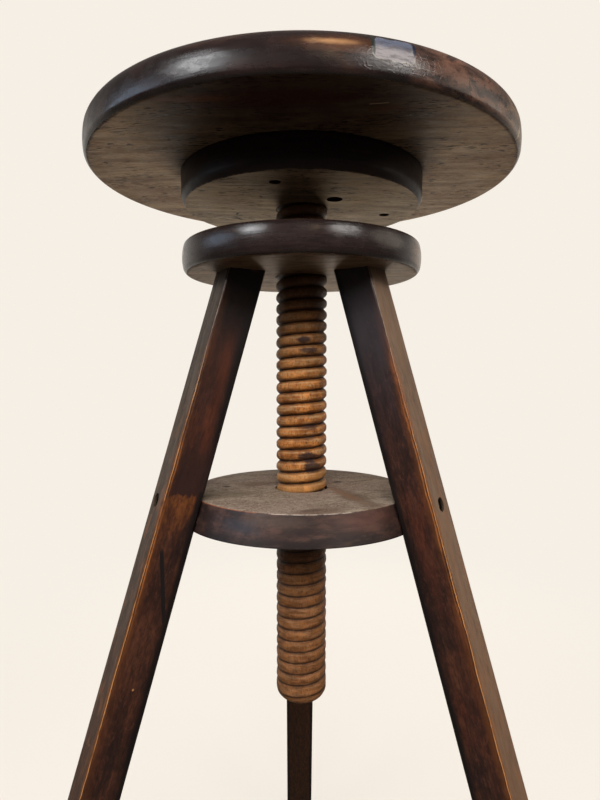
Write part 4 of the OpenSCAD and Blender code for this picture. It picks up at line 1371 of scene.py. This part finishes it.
# %% Grooves and heights
turn = f.calc("SUBTRACT", f.calc("DIVIDE", height, PITCH),
              f.calc("DIVIDE", parts["X"], 2 * math.pi * SCREW_R))
on_thread = f.calc("FRACT", f.calc("ADD", turn, 0.25 - GROOVE_PHASE))
from_groove = f.calc("ADD", f.calc("MINIMUM", on_thread, f.calc("SUBTRACT", 1.0, on_thread)),
                     f.product(uneven, 0.16))
olive = f.product(f.spread(f.calc("ADD", height, f.product(uneven, 0.06)), 0.525, 0.56), 0.35)
colour = f.paint(colour, srgb(122, 92, 58), olive)
low = f.spread(height, GUIDE_BOTTOM + 0.005, GUIDE_BOTTOM - 0.01)
tan = f.product(f.spread(f.calc("ADD", height, f.product(uneven, 0.01)), 0.474, 0.470),
                f.spread(low, 1.0, 0.0), 0.32)
colour = f.paint(colour, f.mix(with_thread, srgb(222, 172, 108), srgb(160, 112, 60)), tan)
# Painted shade on the flanks next to each groove.
colour = f.paint(colour, srgb(88, 53, 28), f.spread(from_groove, 0.25, 0.12), 0.6)
# Painted highlight on the upward-facing flank of each crest.
upper_edge = f.product(f.spread(on_thread, 0.64, 0.72), f.spread(on_thread, 0.84, 0.74),
                       f.spread(ragged, 0.44, 0.6))
colour = f.paint(colour, srgb(176, 146, 108), upper_edge, 0.5)
turns_worn = f.spread(f.noise(grain, (420, 90, 90), 5, 0.65), 0.40, 0.62)
colour = f.paint(colour, f.mix(turns_worn, srgb(86, 56, 38), srgb(140, 96, 66)), low, 0.65)
# Painted shade: a dark line along the bottom of each groove.
colour = f.paint(colour, srgb(24, 14, 9), f.spread(from_groove, 0.105, 0.04),
                 f.spread(low, 0.0, 1.0, 0.92, 0.78))
f.so_far("grooves and heights")

# %% [markdown]
# The wood is darker just under the lower disc and towards the hub, partly dirt where fewer hands reach and
# partly painted shade under the disc and the hub.
# A few crests at the front have dark stains.

# %% Dark ends and stains of the screw
# Painted shade, partly dirt: darker just under the lower disc.
under_disc = f.spread(f.calc("ADD", height, f.product(ragged, 0.02)), GUIDE_BOTTOM - 0.035, GUIDE_BOTTOM)
colour = f.paint(colour, srgb(38, 23, 15), f.product(low, under_disc), 0.7)
# Painted shade, partly dirt: darker towards the hub.
high = f.spread(f.calc("ADD", height, f.product(uneven, 0.04)), HUB_BOTTOM - 0.075, HUB_BOTTOM - 0.01)
colour = f.paint(colour, srgb(44, 25, 14), high, 0.7)
for arc_place, high_place, size, strength in ((0.0030, 0.5668, (0.0066, 0.0034, 0.02), 0.9),
                                              (0.0072, 0.5592, (0.0092, 0.0030, 0.02), 0.8),
                                              (0.0080, 0.5037, (0.0076, 0.0032, 0.02), 0.65),
                                              (0.0085, 0.4957, (0.0066, 0.0028, 0.02), 0.55),
                                              (0.0060, 0.4818, (0.0098, 0.0046, 0.02), 0.9),
                                              (0.0090, 0.4742, (0.0098, 0.0048, 0.02), 0.9)):
    stain = f.spot(rim, (arc_place, high_place, SCREW_R), size, 1.9, f.mix(0.5, ragged, with_thread), 0.5)
    colour = f.paint(colour, srgb(46, 34, 34), stain, strength)
gloss = f.spread(ragged, 0.3, 0.7, 0.4, 0.6)
normal = f.bump(f.calc("SUBTRACT", 1.0, ticks), 0.00010)
normal = f.bump(f.noise(grain, (240, 420, 420), 5, 0.65), 0.00035, normal)
wear_finish(screw_post, f.done(colour, gloss, normal, Specular_IOR_Level=0.3))

# %% [markdown]
# The CAD nodes that stay are small: the iron screws, the wedges in the tenons and the dowel. The old iron is
# grey and dull, with brown rust in blotches. The wedges and the dowel are pale wood, darkened by handling.
# These nodes keep their own meshes, so the patterns read Object coordinates.

# %% Iron and pale wood
f = Finish("old_iron")
place = f.object_place()
rust = f.spread(f.noise(place, (700, 700, 700), 5, 0.65), 0.42, 0.62)
colour = f.mix(rust, srgb(132, 124, 112), srgb(94, 76, 62))
gloss = f.spread(rust, 0.0, 1.0, 0.42, 0.8)
iron = f.done(colour, gloss, f.bump(f.noise(place, (1500, 1500, 1500), 4, 0.6), 0.00008), Metallic=0.2)
f = Finish("pale_wood")
place = f.object_place()
fibre = f.spread(f.noise(place, (900, 900, 60), 4, 0.6), 0.35, 0.65)
colour = f.mix(fibre, srgb(112, 84, 58), srgb(158, 126, 90))
colour = f.paint(colour, srgb(72, 54, 42), f.spread(f.noise(place, (200, 200, 200), 4), 0.45, 0.65), 0.6)
pale = f.done(colour, f.spread(f.noise(place, (300, 300, 300), 3), 0.3, 0.7, 0.5, 0.7),
              f.bump(f.noise(place, (1200, 1200, 90), 4), 0.0001))
for name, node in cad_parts.items():
    if name.startswith(("disc_screw", "leg_screw")):
        wear_finish(node, iron)
    elif name.startswith(("tenon_wedge", "centre_dowel")):
        wear_finish(node, pale)

# %% [markdown]
# The stage is a plain cream floor that runs out into a cream world, so no line shows between them. Light
# Path tells the shader who looks. To the camera the floor is almost plain cream and keeps only a part of the
# stool's shadow. For the light that it throws up at the stool it is dark, or it would light the undersides
# too much. In glossy reflections it is pale only behind the stool.

# %% Stage
CREAM = srgb(246, 239, 229)
FLOOR_SIZE = 12

f = Finish("cream_floor")
path = f.add("LightPath", {}).outputs
away = f.vector_calc("LENGTH", f.object_place())["Value"]
behind = f.spread(f.split(f.object_place())["Y"], 0.1, 1.2, 0.05, 0.6)
seen = f.calc("MAXIMUM", f.calc("MAXIMUM", path["Is Camera Ray"], path["Is Transmission Ray"]),
              f.product(path["Is Glossy Ray"], behind))
glow = f.add("Emission", {"Color": CREAM, "Strength": 1.0})
f.feed(f.shader.inputs["Base Color"], f.mix(seen, srgb(62, 56, 50), srgb(227, 220, 211)))
f.feed(f.shader.inputs["Roughness"], 0.9)
blend = f.add("MixShader", {0: f.product(seen, f.spread(away, 0.2, 1.3, 0.75, 1.0)),
                            1: f.shader.outputs[0], 2: glow.outputs[0]})
f.feed(f.tree.nodes["Material Output"].inputs["Surface"], blend.outputs[0])
bpy.ops.object.select_all(action="DESELECT")
bpy.ops.mesh.primitive_plane_add(size=FLOOR_SIZE, location=(0, 0, 0))
floor = bpy.context.object
floor.name = "floor"
wear_finish(floor, f.material)
print("floor of", FLOOR_SIZE, "m with", len(f.tree.nodes), "nodes")

# %% [markdown]
# The room is dim in front and bright behind. The world gives the glossy reflections of a pale wall low down
# behind the stool, and only a weak fill from everywhere. It is built with the same helpers as the finishes.

# %% World
FILL_STRENGTH = 0.14

world = bpy.data.worlds.new("studio")
bpy.context.scene.world = world
world.use_nodes = True
w = Nodes(world.node_tree)
fill = w.tree.nodes["Background"]
w.feed(fill.inputs["Color"], CREAM)
w.feed(fill.inputs["Strength"], FILL_STRENGTH)
wall = w.add("Background", {"Color": CREAM, "Strength": 1.0})
path = w.add("LightPath", {}).outputs
way = w.split(w.add("TexCoord", {}).outputs["Generated"])
behind = w.spread(way["Y"], -0.1, 0.7, 0.03, 0.8)
low_down = w.spread(way["Z"], 0.5, 0.2, 0.1, 1.0)
reflected = w.product(path["Is Glossy Ray"], w.product(behind, low_down))
seen = w.calc("MAXIMUM", path["Is Camera Ray"], path["Is Transmission Ray"])
blend = w.add("MixShader", {0: w.calc("MAXIMUM", seen, reflected), 1: fill.outputs[0], 2: wall.outputs[0]})
w.feed(w.tree.nodes["World Output"].inputs["Surface"], blend.outputs[0])
print("world with", len(w.tree.nodes), "nodes")

# %% [markdown]
# Soft lamps make the highlights and the shadows. Two soft boxes in front, a little over 40 degrees to each
# side, are the streaks on the seat's and the hub's edge. Two dim windows, cool on the left and warm on the
# right, tint the legs. A wide lamp low behind lights the underside of the seat and leaves the shadow of the
# fixing disc on its front half. A fill in front and a box on top light the rest, and a small warm lamp above
# the camera gives a warm glint. The fill, the top box and the lamp behind don't show in reflections.

# %% Lamps
STOOL_MIDDLE = (0, 0, 0.65)


def soft_box(name, size_x, size_y, place, power, colour, towards=STOOL_MIDDLE, mirrored=True):
    bpy.ops.object.select_all(action="DESELECT")
    bpy.ops.object.light_add(type="AREA", location=place)
    lamp = bpy.context.object
    lamp.name = name
    lamp.data.shape = "ELLIPSE"
    lamp.data.size, lamp.data.size_y = size_x, size_y
    lamp.data.energy = power
    lamp.data.color = colour
    lamp.rotation_euler = (Vector(towards) - Vector(place)).to_track_quat("-Z", "Y").to_euler()
    lamp.visible_camera = False
    lamp.visible_glossy = mirrored
    print(name, power, "W")


soft_box("left_box", 0.62, 0.4, (-1.0, -1.1, 1.4), 8, (0.97, 0.98, 1.0))
soft_box("right_box", 0.7, 0.45, (1.0, -1.1, 1.4), 7, (1.0, 0.96, 0.92))
soft_box("left_window", 1.0, 0.5, (-1.5, -0.4, 1.05), 2.4, (0.62, 0.78, 1.0), towards=(0, 0, 0.6))
soft_box("right_window", 1.1, 0.7, (1.5, -0.1, 1.1), 2.4, (1.0, 0.88, 0.74), towards=(0, 0, 0.6))
soft_box("front_fill", 1.2, 1.0, (0, -1.5, 1.5), 24, (1.0, 0.97, 0.93), towards=(0, 0, 0.5), mirrored=False)
soft_box("low_back", 1.0, 0.4, (0, 2.0, 0.26), 88, (1.0, 0.92, 0.8), mirrored=False)
soft_box("warm_front", 0.2, 0.2, (0.35, -1.35, 1.4), 0.4, (1.0, 0.7, 0.45))
soft_box("top_box", 0.9, 0.9, (0, -0.2, 2.1), 19, (1.0, 0.97, 0.92), towards=(0, 0, 0.5), mirrored=False)
bpy.context.scene.view_settings.view_transform = "Standard"
